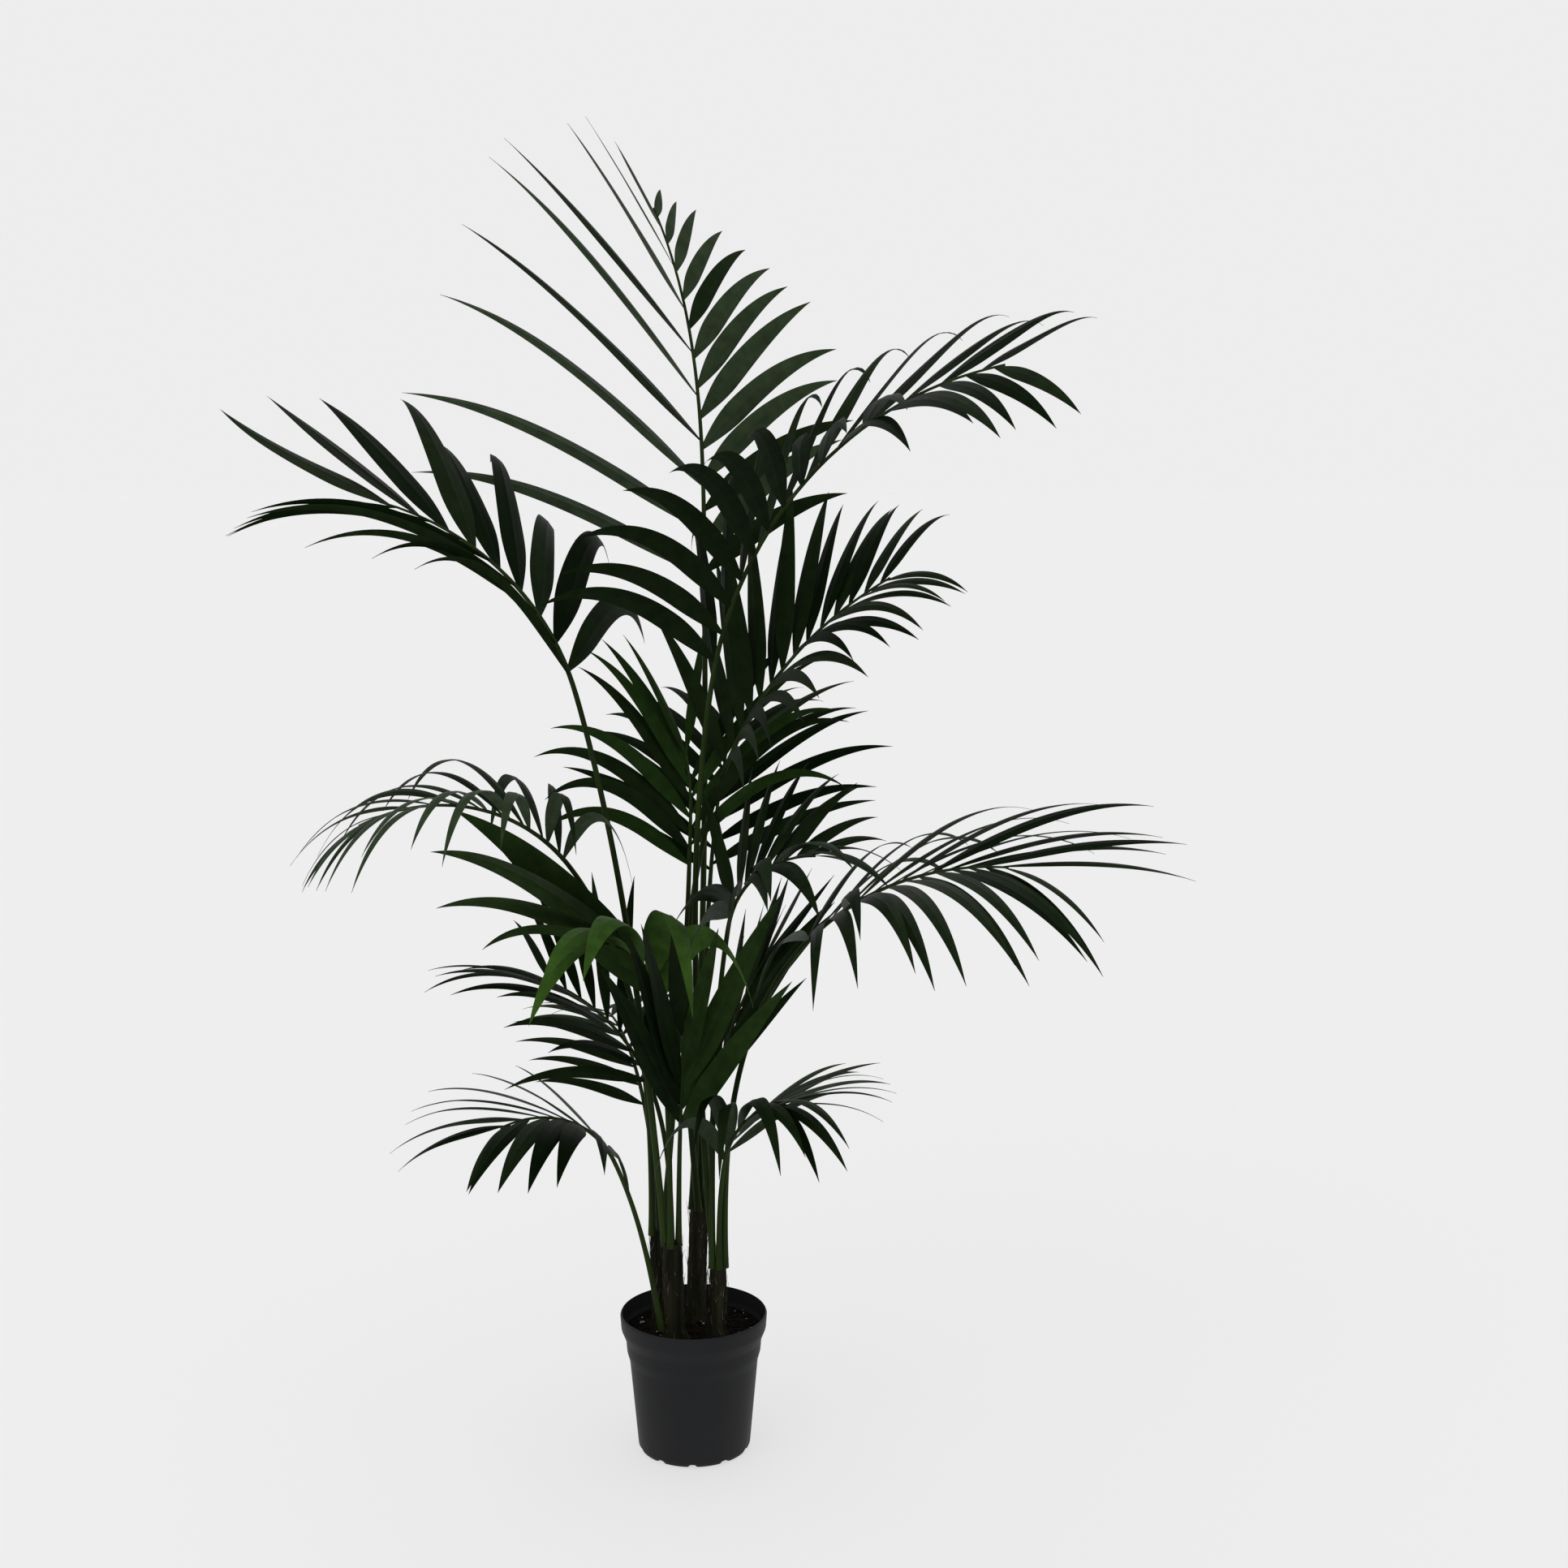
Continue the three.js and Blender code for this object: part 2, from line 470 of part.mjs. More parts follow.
function touches(f, curve) {
  const samples = [];
  for (let i = 0; i <= LEAF_STEPS; i += 1) {
    for (const w of ACROSS) {
      samples.push({ i, p: add(curve.mid[i], curve.across[i], w * curve.half[i]) });
    }
  }
  const box = boxOf(samples.map((s) => s.p), 0);
  if (box.low[2] < FLOOR_CLEAR) return true;
  for (const { p } of samples) {
    if (p[2] < POT_ZONE.top && Math.hypot(p[0], p[1]) < POT_ZONE.radius) return true;
  }
  for (const stem of Object.values(STEMS)) {
    const a = [...stem.foot, SOIL_TOP];
    const b = [...stem.head, stem.top];
    if (samples.some(({ p }) => nearSegment(p, a, b) < stem.girth + RIB_CLEAR)) return true;
  }
  for (let g = 0; g < ribs.length; g += 1) {
    if (apart(box, ribBoxes[g])) continue;
    const rib = ribs[g];
    for (let j = 0; j < RIB_STEPS; j += 1) {
      if (g === f && (j + 1) / RIB_STEPS > rib.neck) break;
      const [a, b] = [rib.points[j], rib.points[j + 1]];
      const limit = ribRadius(rib, j / RIB_STEPS) + RIB_CLEAR;
      for (const { i, p } of samples) {
        if (g === f && i < OWN_FROM) continue;
        if (nearSegment(p, a, b) < limit) return true;
      }
    }
  }
  for (const other of grown) {
    if (apart(box, other)) continue;
    const o = other.curve;
    const own = other.frond === f;
    const clear = own ? OWN_CLEAR : LEAF_CLEAR;
    const beside = own ? OWN_EDGE_CLEAR : EDGE_CLEAR;
    const reach = STEP_REACH[0] * (o.length / LEAF_STEPS) + STEP_REACH[1];
    for (const { i, p } of samples) {
      if (own && i < OWN_FROM) continue;
      for (let j = own ? OWN_FROM : 0; j <= LEAF_STEPS; j += 1) {
        const d = add(p, o.mid[j], -1);
        if (Math.abs(dot(d, o.face[j])) > clear || Math.abs(dot(d, o.ahead[j])) > reach) continue;
        if (Math.abs(dot(d, o.across[j])) < o.half[j] + beside) return true;
      }
    }
  }
  return false;
}
function growLeaf(f, side, k) {
  for (const share of SHORTER) {
    for (const extra of TURNS) {
      const curve = leafOf(f, side, k, extra, share);
      if (!touches(f, curve)) {
        grown.push({ frond: f, curve, ...boxOf(curve.mid, BOX_MARGIN.leaf) });
        return curve;
      }
    }
  }
  return null;
}

// ---- fronds -------------------------------------------------------------
FRONDS.forEach((frond, f) => {
  const number = String(f + 1).padStart(2, '0');
  place(`stalk_${number}`, stalkSolid(ribs[f]), STALK);
  let blade = toSolid(bladeRib(ribs[f]));
  for (const side of [1, -1]) {
    const { count } = side > 0 ? frond.left : frond.right;
    for (let k = 0; k < count; k += 1) {
      const curve = growLeaf(f, side, k);
      if (curve) blade = blade.add(toSolid(leafSolid(curve)));
    }
  }
  place(`frond_${number}`, toGeometry(outerShell(blade)), LEAF);
});

export default group;
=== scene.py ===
"""Looks of a kentia palm in a nursery pot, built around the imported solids."""

import math
import random

import bpy
import numpy as np
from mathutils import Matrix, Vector


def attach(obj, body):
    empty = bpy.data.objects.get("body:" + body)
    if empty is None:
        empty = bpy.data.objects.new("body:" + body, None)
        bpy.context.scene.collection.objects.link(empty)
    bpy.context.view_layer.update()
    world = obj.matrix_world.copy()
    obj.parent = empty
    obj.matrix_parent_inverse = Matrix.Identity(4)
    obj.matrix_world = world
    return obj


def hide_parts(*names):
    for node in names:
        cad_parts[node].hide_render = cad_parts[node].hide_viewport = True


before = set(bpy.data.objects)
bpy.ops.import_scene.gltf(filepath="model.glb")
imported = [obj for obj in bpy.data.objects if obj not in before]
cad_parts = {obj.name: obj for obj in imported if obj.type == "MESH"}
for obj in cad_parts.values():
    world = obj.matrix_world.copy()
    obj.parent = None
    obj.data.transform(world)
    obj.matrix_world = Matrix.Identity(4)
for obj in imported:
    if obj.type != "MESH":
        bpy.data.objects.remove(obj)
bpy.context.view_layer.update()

MM = 0.001
TURN = 6.283  # radians, for angles dealt out at random
UP = np.array([0.0, 0.0, 1.0])
DOWN = np.array([0.0, 0.0, -1.0])

# ---- camera and studio ---------------------------------------------------
CAMERA_PLACE = (0.148, -3.6, 1.70)
CAMERA_DOWN = 9.35  # degrees below level
CAMERA_SIGHT = 200  # metres
SENSOR_MM = 36
LENS_MM = 53.1
FLOOR_HALF = 40.0
FLOOR_TONE = 0.28
FLOOR_GLOW = 0.597  # the floor is a lit table, so the shade on it stays faint
FLOOR_ROUGHNESS = 0.9
FLOOR_SHINE = 0.1
STUDIO_LIGHT = 0.847  # the surroundings shine as bright as the floor, so no horizon shows
KEY_PLACE = (-4.0, -5.5, 7.0)
KEY_TARGET = (0, 0, 1.1)
KEY_SIZE = 6.0
KEY_POWER = 110

# ---- pot and soil, in millimetres ---------------------------------------
POT_HEIGHT = 232
POT_WALL = 2.6
POT_FLOOR = 3.2
POT_SIDES = 144
POT_OUTSIDE = [
    (84, 0), (89, 2.2), (92, 8), (104.9, 152), (109.4, 168), (111, 188), (118.6, 207), (120, 229),
    (118.4, 232),
]
POT_FOOT = 3  # so many of those points belong to the rounded foot
LIP_INSIDE = 117.2
UNDERSIDE_RING = 60  # radius from which the underside is drawn, round its own flat middle
FLOOR_RADIUS = 86
FLOOR_RING = 40  # the same for the floor inside
FLOOR_CURVE = 2
CORNER_SHARE = 0.22  # of the shorter side, how far a rounded corner reaches
CORNER_REACH = 3.0
CORNER_STEPS = 3
DRAIN_COUNT = 10
DRAIN_WIDTH = 0.14  # of the way from one notch to the next, to each side
DRAIN_HEIGHT = 3.4
DRAIN_BAND = (80, 92.5)  # radii of the part of the foot that the notches lift
DRAIN_TOP = 9
DRAIN_ARCH = 4  # power of a notch's arch
SOIL_TOP = 202
GAP = 0.3
SOIL_CLEAR = 0.4  # from the wall
SOIL_SKIRT = (170, 190, 196)  # heights of its edge, down inside the wall
SOIL_SIDES = 96
SOIL_RINGS = 24
SOIL_CENTRE = 0.01  # radius of the last ring
SOIL_SUNK = 2
SOIL_MOUND = 4  # how much higher it stands in the middle
SOIL_WAVE = 0.9
SOIL_WAVES = ((5, 1), (11, -1.7))  # how many go round, and their turn from ring to ring
SOIL_LUMPS = 1500
LUMP_SIZE = (1.2, 4.2)
LUMP_INSET = 4  # from the soil's edge
LUMP_RISE = (-1, 1.5)
LUMP_SUNK = 1
LUMP_WIDE = (0.7, 1.3)
LUMP_FLAT = (0.5, 0.9)
LUMP_ROUGH = (0.75, 1.2)
PERLITE_BITS = 46
PERLITE_SIZE = (1.0, 2.4)
PERLITE_INSET = 5
PERLITE_RISE = 2.2

# ---- stems, in millimetres: foot on the soil, head, top, girth ----------
STEMS = {
    "A": dict(foot=(-29, -44), head=(-32, -50), top=362, girth=16),
    "B": dict(foot=(-52, 5), head=(-58, 0), top=365, girth=13),
    "C": dict(foot=(2, 34), head=(8, 40), top=392, girth=15),
    "D": dict(foot=(39, -40), head=(42, -45), top=325, girth=13.5),
}
STEM_TAPER = (1.04, 0.98)  # of its girth, at the foot and the head
STEM_FLARE = 8
STEM_FLARE_FALL = 12
HEAD_RING = 10.6  # the frond stalks stand on this circle on a stem's head
SHEATH_SIDES = 72
SHEATH_LEVELS = 60
SHEATH_PHASES = 8
SHEATH_FOOT = 3  # under the soil
SHEATH_HEAD = 6  # over the stem
SHEATH_FIT = 0.98  # of the stem's radius
# waves in a sheath: depth, how many go round, which way the phase turns them, turn per mm of height
SHEATH_WAVES = ((0.022, 19, 1, 0.05), (0.016, 31, -1, -0.03), (0.05, 3, 1, 0.012), (0.03, 5, 1, -0.02))
SCAR = dict(depth=0.05, pace=0.21, tilt=0.5, narrow=14)  # rings left by fallen fronds
RAGGED = dict(start=14, length=20, depth=0.25, teeth=7, tooth=0.4)  # the torn upper edge
STRANDS = 90
PALE_EVERY = 2  # one strand in so many is a pale, dry scrap
STRAND_LENGTH = (25, 90)
STRAND_DRIFT = (-0.35, 0.35)  # radians round the stem
STRAND_PEEL = (0.5, 7)  # how far its top end stands off
STRAND_LIFT = 1.02  # of the stem's radius
STRAND_ENDS = dict(low=4, high=20, top=30)  # over the soil, under the head, and how far past it
STRAND_STEPS = 7
STRAND_GIRTH = 0.75
STRAND_THINS = 0.7
SCRAP_SHARE = 0.2  # of a strand's length
SCRAP_PEEL = 0.3


# Leaflet habits: spread from the rib, lift out of the blade and droop, each at the neck and at
# the tip. bend: where the droop sets in. taper: how much shorter the last leaflets are.
# roll: turn of a leaflet about its own length, so that it shows its edge.
HABITS = {
    "fan": dict(spread=(60, 10), lift=(0, 0), droop=(0.6, 0), bend=2, taper=0.8, roll=55),
    "brush": dict(spread=(50, 30), lift=(-10, 0), droop=(0.5, 0.6), bend=1.5, taper=0.8, roll=0),
    "upright": dict(spread=(45, 40), lift=(55, 35), droop=(0.4, 0.6), bend=2, taper=0.5, roll=0),
    "crooked": dict(spread=(35, 35), lift=(55, 25), droop=(2.5, 0.5), bend=6, taper=0.5, roll=0),
    "tossed": dict(spread=(60, 35), lift=(45, -40), droop=(1, 0.6), bend=1.5, taper=0.5, roll=0),
    "plumed": dict(spread=(70, 30), lift=(45, 15), droop=(2.4, -0.4), bend=3, taper=0.15, roll=0),
    "streaming": dict(spread=(35, 30), lift=(-15, -20), droop=(1.1, 0.5), bend=1.6, taper=0.6, roll=-45),
    "folded": dict(spread=(60, 20), lift=(50, -5), droop=(2.2, 1.4), bend=1.5, taper=0.6, roll=0),
    "cascade": dict(spread=(30, 15), lift=(20, 0), droop=(1.8, 1.2), bend=1.3, taper=0.4, roll=0),
    "hanging": dict(spread=(70, 35), lift=(5, -10), droop=(0.9, 0.8), bend=1.4, taper=0.5, roll=0),
    "arching": dict(spread=(50, 20), lift=(20, 10), droop=(1.3, 0.3), bend=1.8, taper=0.3, roll=0),
    "splayed": dict(spread=(40, 40), lift=(10, 10), droop=(0.1, 1.2), bend=2, taper=0.6, roll=30),
    "erect": dict(spread=(25, 10), lift=(-30, -20), droop=(0.2, 0), bend=2, taper=0.2, roll=0),
    "spray": dict(spread=(60, 30), lift=(0, 5), droop=(0.5, 0.7), bend=1.9, taper=0.4, roll=0),
}


def leaflets(habit, count, longest, widest):
    return dict(HABITS[habit], count=count, longest=longest, widest=widest)


# slot: place of the stalk round the stem's head, degrees; beside: or round its side, at this height.
# heading: the way the frond goes, degrees from +X to +Y; sweep: how far it turns on the way.
# lean: degrees from upright at the foot, the neck and the tip.
FRONDS = [
    dict(stem="C", slot=170, heading=60, sweep=80, stalk=1000, blade=650, lean=(5, 0, 30),
         left=leaflets("fan", 9, 590, 50), right=leaflets("brush", 9, 340, 54)),
    dict(stem="D", slot=135, heading=-30, sweep=0, stalk=940, blade=740, lean=(-5, 10, 80),
         left=leaflets("crooked", 11, 330, 48), right=leaflets("tossed", 11, 380, 42)),
    dict(stem="A", slot=180, heading=190, sweep=0, stalk=910, blade=430, lean=(5, 15, 74),
         left=leaflets("streaming", 8, 550, 40), right=leaflets("plumed", 9, 380, 60)),
    dict(stem="D", slot=351, heading=-20, sweep=0, stalk=560, blade=380, lean=(0, 40, 90),
         left=leaflets("arching", 9, 400, 40), right=leaflets("hanging", 9, 480, 42)),
    dict(stem="B", slot=220, heading=200, sweep=0, stalk=640, blade=370, lean=(0, 35, 115),
         left=leaflets("folded", 7, 320, 44), right=leaflets("folded", 7, 340, 44)),
    dict(stem="C", slot=270, heading=0, sweep=0, stalk=730, blade=420, lean=(-5, 20, 60),
         left=leaflets("upright", 9, 350, 50), right=leaflets("hanging", 9, 330, 40)),
    dict(stem="A", slot=260, heading=-130, sweep=0, stalk=400, blade=180, lean=(0, 10, 75),
         left=leaflets("cascade", 5, 440, 54), right=leaflets("splayed", 5, 430, 70)),
    dict(stem="A", slot=210, beside=222, heading=205, sweep=0, stalk=310, blade=220, lean=(10, 25, 110),
         left=leaflets("hanging", 7, 260, 32), right=leaflets("spray", 7, 300, 32)),
    dict(stem="D", slot=207, heading=-40, sweep=30, stalk=570, blade=200, lean=(0, 10, 90),
         left=leaflets("upright", 7, 240, 42), right=leaflets("hanging", 7, 380, 50)),
    dict(stem="D", slot=279, heading=-40, sweep=0, stalk=170, blade=200, lean=(0, 10, 80),
         left=leaflets("spray", 7, 260, 32), right=leaflets("cascade", 7, 310, 32)),
    dict(stem="A", slot=100, heading=170, sweep=0, stalk=260, blade=250, lean=(0, 20, 70),
         left=leaflets("spray", 6, 350, 34), right=leaflets("upright", 6, 300, 34)),
    dict(stem="B", slot=330, heading=0, sweep=120, stalk=600, blade=200, lean=(5, 5, 25),
         left=leaflets("arching", 6, 310, 58), right=leaflets("arching", 6, 340, 48)),
    dict(stem="A", slot=10, heading=-80, sweep=0, stalk=200, blade=190, lean=(5, 15, 20),
         left=leaflets("erect", 5, 420, 54), right=leaflets("erect", 5, 420, 52)),
    dict(stem="C", slot=80, heading=80, sweep=0, stalk=540, blade=300, lean=(5, 20, 60),
         left=leaflets("spray", 8, 340, 38), right=leaflets("spray", 8, 340, 38)),
    dict(stem="B", slot=90, beside=240, heading=110, sweep=0, stalk=310, blade=290, lean=(5, 35, 95),
         left=leaflets("spray", 6, 230, 32), right=leaflets("spray", 6, 230, 32)),
    dict(stem="C", slot=0, heading=50, sweep=0, stalk=200, blade=240, lean=(5, 15, 50),
         left=leaflets("erect", 6, 260, 32), right=leaflets("erect", 6, 260, 32)),
]
# How each frond is dressed here, on its left and its right. tone: of its leaves. finer: how many times
# the leaflets of its solid it bears. breadth: of each, where it stands more open or closer than its solid.
# the tones pale, backlit and shade paint light and shade into the leaf green
DRESS = [
    dict(tone=("pale", "pale"), finer=(1, 1.4), breadth=(1, 1)),
    dict(tone=("deep", "shade"), finer=(1, 1.5), breadth=(1, 1.25)),
    dict(tone=("deep", "deep"), finer=(1, 1), breadth=(0.42, 0.92)),
    dict(tone=("dark", "dark"), finer=(1.5, 1.5), breadth=(1, 1)),
    dict(tone=("pale", "dark"), finer=(1.4, 1.4), breadth=(0.75, 0.75)),
    dict(tone=("dark", "dark"), finer=(1.5, 1.5), breadth=(1, 1)),
    dict(tone=("backlit", "fresh"), finer=(1, 1), breadth=(1, 1)),
    dict(tone=("dark", "dark"), finer=(1, 1), breadth=(1.15, 1.2)),
    dict(tone=("dark", "dark"), finer=(1.4, 1.5), breadth=(1, 1)),
    dict(tone=("dark", "dark"), finer=(1.5, 1.3), breadth=(1.1, 1.15)),
    dict(tone=("deep", "deep"), finer=(1.5, 1.5), breadth=(1, 1)),
    dict(tone=("fresh", "fresh"), finer=(1.3, 1.3), breadth=(0.6, 0.6)),
    dict(tone=("fresh", "shade"), finer=(1.3, 1.3), breadth=(1, 1)),
    dict(tone=("deep", "deep"), finer=(1, 1), breadth=(0.7, 0.7)),
    dict(tone=("dark", "dark"), finer=(1.4, 1.4), breadth=(1, 1)),
    dict(tone=("dark", "dark"), finer=(1.4, 1.4), breadth=(1, 1)),
]
SLIMMER = -0.85  # power of finer, for the leaflets' width
SLIM_TIPS = 0.8  # how far a short leaflet's width follows its length
RIB_STEPS = 48
STALK_GIRTH = (4.2, 1.4)  # foot radius of a short stalk, and what a tall one adds
TALL_FROND = 1400  # stalk and blade
NECK_SHARE = 0.74  # of the foot radius
RIB_END = 1.7
RING_START = (0.36, 0.93, 0.05)  # no stalk or rib runs this way
LEAF_STEPS = 32
LEAF_FOOT = 0.16  # of the leaflet's width
LEAF_WIDEST_AT = 0.3  # of its length
LEAF_POINT = 1.9  # how late it narrows to the tip
LEAF_SPAN = (0.03, 0.99)  # of the blade's rib
LEAF_START = {1: 0.25, -1: 0.5}  # left and right leaflets stand between each other
LEAF_END = 0.3
NECK_SHORTER = 0.2
NECK_FADE = 4  # how soon that is over
TIP_FADE = 2.2  # how late the leaflets grow short to the blade's tip
ROOT_INSET = 0.3  # of the rib's radius
VARY = dict(spread=4, lift=5, roll=8, length=0.05, droop=0.2)
DRAWS = dict(spread=3, lift=7, length=11, droop=17, roll=23, tone=31, wave=41)  # place in the noise
LEAF_CLEAR = 9.5  # least distance between the blades of two fronds
OWN_CLEAR = 4  # and of one frond, past the foot of its leaflets
OWN_FROM = 5
EDGE_CLEAR = 5  # beside a leaflet of another frond
OWN_EDGE_CLEAR = 1
RIB_CLEAR = 9
STEP_REACH = (0.6, 1)  # of a step of the other leaflet's curve, and mm
FLOOR_CLEAR = 8
POT_ZONE = dict(radius=134, top=POT_HEIGHT + 12)  # no leaflet enters the space over the pot
BOX_MARGIN = dict(rib=20, leaf=34)
ACROSS = (-1, -0.5, 0, 0.5, 1)
# a leaflet that would touch another frond turns aside by these angles, then grows shorter
TURNS = (0, 7, -7, 14, -14, 22, -22, 30, -30)
SHORTER = (1, 0.8, 0.6)
STALK_RINGS = 46
STALK_SIDES = 16
STALK_GROOVE = 0.22  # of its radius
CLASP = dict(swell=0.35, fall=35)  # of a stalk's foot round the stem
RACHIS_RINGS = 30
RACHIS_SIDES = 10
RACHIS_GROOVE = 0.15
GROOVE_NARROW = 6
SECTION = (-1, -0.7, -0.4, -0.1, 0, 0.1, 0.4, 0.7, 1)  # places across a leaflet
FOLD = (0, 0.30, 0.46, 0.62, 0.80, 0.62, 0.46, 0.30, 0)  # height there over its edges
FOLD_DEPTH = 0.2  # of its half width
LEAF_BODY = 0.5  # thickness over its middle, nothing at its edges
LEAF_LEAST = 0.25  # half width at the tip
WAVE = dict(depth=0.04, along=7, across=1.5)  # of a leaflet's edges


# ---- vectors --------------------------------------------------------------
# np.cross and np.linalg.norm are slow for single vectors
def unit(v):
    return v / math.sqrt(float(v @ v))


def cross(a, b):
    return np.array([a[1] * b[2] - a[2] * b[1], a[2] * b[0] - a[0] * b[2], a[0] * b[1] - a[1] * b[0]])


def blend(a, b, t):
    return a * (1 - t) + b * t


def turned(v, axis, degrees):
    c, s = math.cos(math.radians(degrees)), math.sin(math.radians(degrees))
    return v * c + cross(axis, v) * s + axis * (float(axis @ v) * (1 - c))


def noise(a, b, c):
    """A fixed number from -1 to 1 for each three numbers."""
    x = math.sin(a * 127.1 + b * 311.7 + c * 74.7 + 0.5) * 43758.5453
    return 2 * (x - math.floor(x)) - 1


def along(rows, q):
    """The value a share q of the way along evenly spaced rows."""
    x = q * (len(rows) - 1)
    i = min(math.floor(x), len(rows) - 2)
    return rows[i] * (1 - (x - i)) + rows[i + 1] * (x - i)


def polar(radius, angle, z):
    return (radius * math.cos(angle), radius * math.sin(angle), z)


# ---- the growth rule, as in the solids -----------------------------------
def stem_centre(stem, z):
    t = (z - SOIL_TOP) / (stem["top"] - SOIL_TOP)
    x, y = (blend(foot, head, t) for foot, head in zip(stem["foot"], stem["head"]))
    return np.array([x, y, z])


def stem_radius(stem, z):
    t = (z - SOIL_TOP) / (stem["top"] - SOIL_TOP)
    flare = STEM_FLARE * math.exp(-(z - SOIL_TOP - GAP) / STEM_FLARE_FALL)
    return stem["girth"] * blend(*STEM_TAPER, t) + flare


def girth_of(f):
    return STALK_GIRTH[0] + STALK_GIRTH[1] * min(1, (f["stalk"] + f["blade"]) / TALL_FROND)


def foot_of(f):
    stem = STEMS[f["stem"]]
    a = math.radians(f["slot"])
    outward = np.array([math.cos(a), math.sin(a), 0.0])
    if "beside" not in f:
        return np.array([*stem["head"], stem["top"] + GAP]) + outward * HEAD_RING
    z = f["beside"]
    return stem_centre(stem, z) + outward * (stem_radius(stem, z) + girth_of(f) + GAP)


def rib_of(f):
    """A frond's middle line, from the stalk's foot to the blade's tip."""
    total = f["stalk"] + f["blade"]
    tangents = []
    for i in range(RIB_STEPS + 1):
        s = i / RIB_STEPS * total
        a0, a1, a2 = f["lean"]
        if s < f["stalk"]:
            q = s / f["stalk"]
            lean = a0 + (a1 - a0) * q * q
        else:
            lean = a1 + (a2 - a1) * (s - f["stalk"]) / f["blade"]
        tilt = math.radians(lean)
        a = math.radians(f["heading"] + f["sweep"] * (s / total) ** 2)
        tangents.append([math.sin(tilt) * math.cos(a), math.sin(tilt) * math.sin(a), math.cos(tilt)])
    tangents = np.array(tangents)
    points = [foot_of(f)]
    for i in range(RIB_STEPS):
        points.append(points[i] + (tangents[i] + tangents[i + 1]) * (total / RIB_STEPS / 2))
    neck = f["stalk"] / total
    return dict(points=np.array(points), tangents=tangents, neck=neck, total=total, girth=girth_of(f))


RIBS = [rib_of(f) for f in FRONDS]


def rib_radius(rib, q):
    if q <= rib["neck"]:
        return rib["girth"] * blend(1, NECK_SHARE, q / rib["neck"])
    return blend(rib["girth"] * NECK_SHARE, RIB_END, (q - rib["neck"]) / (1 - rib["neck"]))


def leaf_curve(base, direction, face, length, width, droop, bend):
    u = np.arange(LEAF_STEPS + 1) / LEAF_STEPS
    ahead = direction + DOWN * (droop * u**bend)[:, None]
    ahead /= np.sqrt((ahead * ahead).sum(1))[:, None]
    faces = []
    for d in ahead:
        face = unit(face - d * float(face @ d))
        faces.append(face)
    faces = np.array(faces)
    across = np.cross(ahead, faces)
    first = LEAF_FOOT + (1 - LEAF_FOOT) * np.sin(u / LEAF_WIDEST_AT * math.pi / 2)
    last = 1 - np.clip((u - LEAF_WIDEST_AT) / (1 - LEAF_WIDEST_AT), 0, None) ** LEAF_POINT
    half = np.clip(np.where(u < LEAF_WIDEST_AT, first, last), 0, None) * width / 2
    middle = (np.arange(LEAF_STEPS) + 0.5) / LEAF_STEPS
    step = direction + DOWN * (droop * middle**bend)[:, None]
    step /= np.sqrt((step * step).sum(1))[:, None]
    mid = np.vstack([base, base + np.cumsum(step * (length / LEAF_STEPS), 0)])
    return dict(length=length, mid=mid, ahead=ahead, face=faces, across=across, half=half)


def habit_of(index, side):
    return FRONDS[index]["left" if side > 0 else "right"]


def dress_of(index, side, what):
    return DRESS[index][what][0 if side > 0 else 1]


def count_of(index, side):
    return round(habit_of(index, side)["count"] * dress_of(index, side, "finer"))


def varied(what, index, side, k):
    return VARY[what] * noise(index, k, side + DRAWS[what])


def leaf_of(index, side, k, extra, share):
    """One leaflet of a frond: side +1 is left of the heading, k counts from the neck."""
    f, rib, habit = FRONDS[index], RIBS[index], habit_of(index, side)
    t = (k + LEAF_START[side]) / (count_of(index, side) - LEAF_END)
    q = blend(rib["neck"], 1, blend(*LEAF_SPAN, t))
    forward = unit(along(rib["tangents"], q))
    h = math.radians(f["heading"] + f["sweep"] * q * q)
    out = np.array([-math.sin(h), math.cos(h), 0.0])
    up = unit(cross(forward, out))
    spread = math.radians(blend(*habit["spread"], t) + varied("spread", index, side, k))
    lift = math.radians(blend(*habit["lift"], t) + varied("lift", index, side, k) + extra)
    outward = out * (side * math.cos(lift)) + up * math.sin(lift)
    topside = up * math.cos(lift) - out * (side * math.sin(lift))
    direction = forward * math.cos(spread) + outward * math.sin(spread)
    face = unit(topside - direction * float(topside @ direction))
    face = turned(face, direction, habit["roll"] + varied("roll", index, side, k))
    full = 1 - NECK_SHORTER * (1 - t) ** NECK_FADE - habit["taper"] * t**TIP_FADE
    shape = full * (1 + varied("length", index, side, k))
    droop = blend(*habit["droop"], t) * (1 + varied("droop", index, side, k))
    width = habit["widest"] * blend(1, shape, SLIM_TIPS) * dress_of(index, side, "finer") ** SLIMMER
    width *= dress_of(index, side, "breadth")
    base = along(rib["points"], q) + outward * (ROOT_INSET * rib_radius(rib, q))
    return leaf_curve(base, direction, face, habit["longest"] * shape * share, width, droop, habit["bend"])


def near_segments(points, a, b):
    """Distance of every point to every segment a to b."""
    ab = b - a
    ap = points[:, None, :] - a[None]
    t = np.clip((ap * ab).sum(2) / (ab * ab).sum(1), 0, 1)
    d = ap - ab[None] * t[..., None]
    return np.sqrt((d * d).sum(2))


def box_of(points, margin):
    return points.min(0) - margin, points.max(0) + margin


def apart(a, b):
    return bool((a[0] > b[1]).any() or (b[0] > a[1]).any())


RIB_BOXES = [box_of(rib["points"], BOX_MARGIN["rib"]) for rib in RIBS]
grown = []


def samples_of(curve):
    """Points all over a leaflet, and the step of its curve that each belongs to."""
    ways = np.array(ACROSS)
    spans = curve["across"] * curve["half"][:, None]
    samples = (curve["mid"][:, None] + spans[:, None] * ways[None, :, None]).reshape(-1, 3)
    return samples, np.repeat(np.arange(LEAF_STEPS + 1), len(ways))


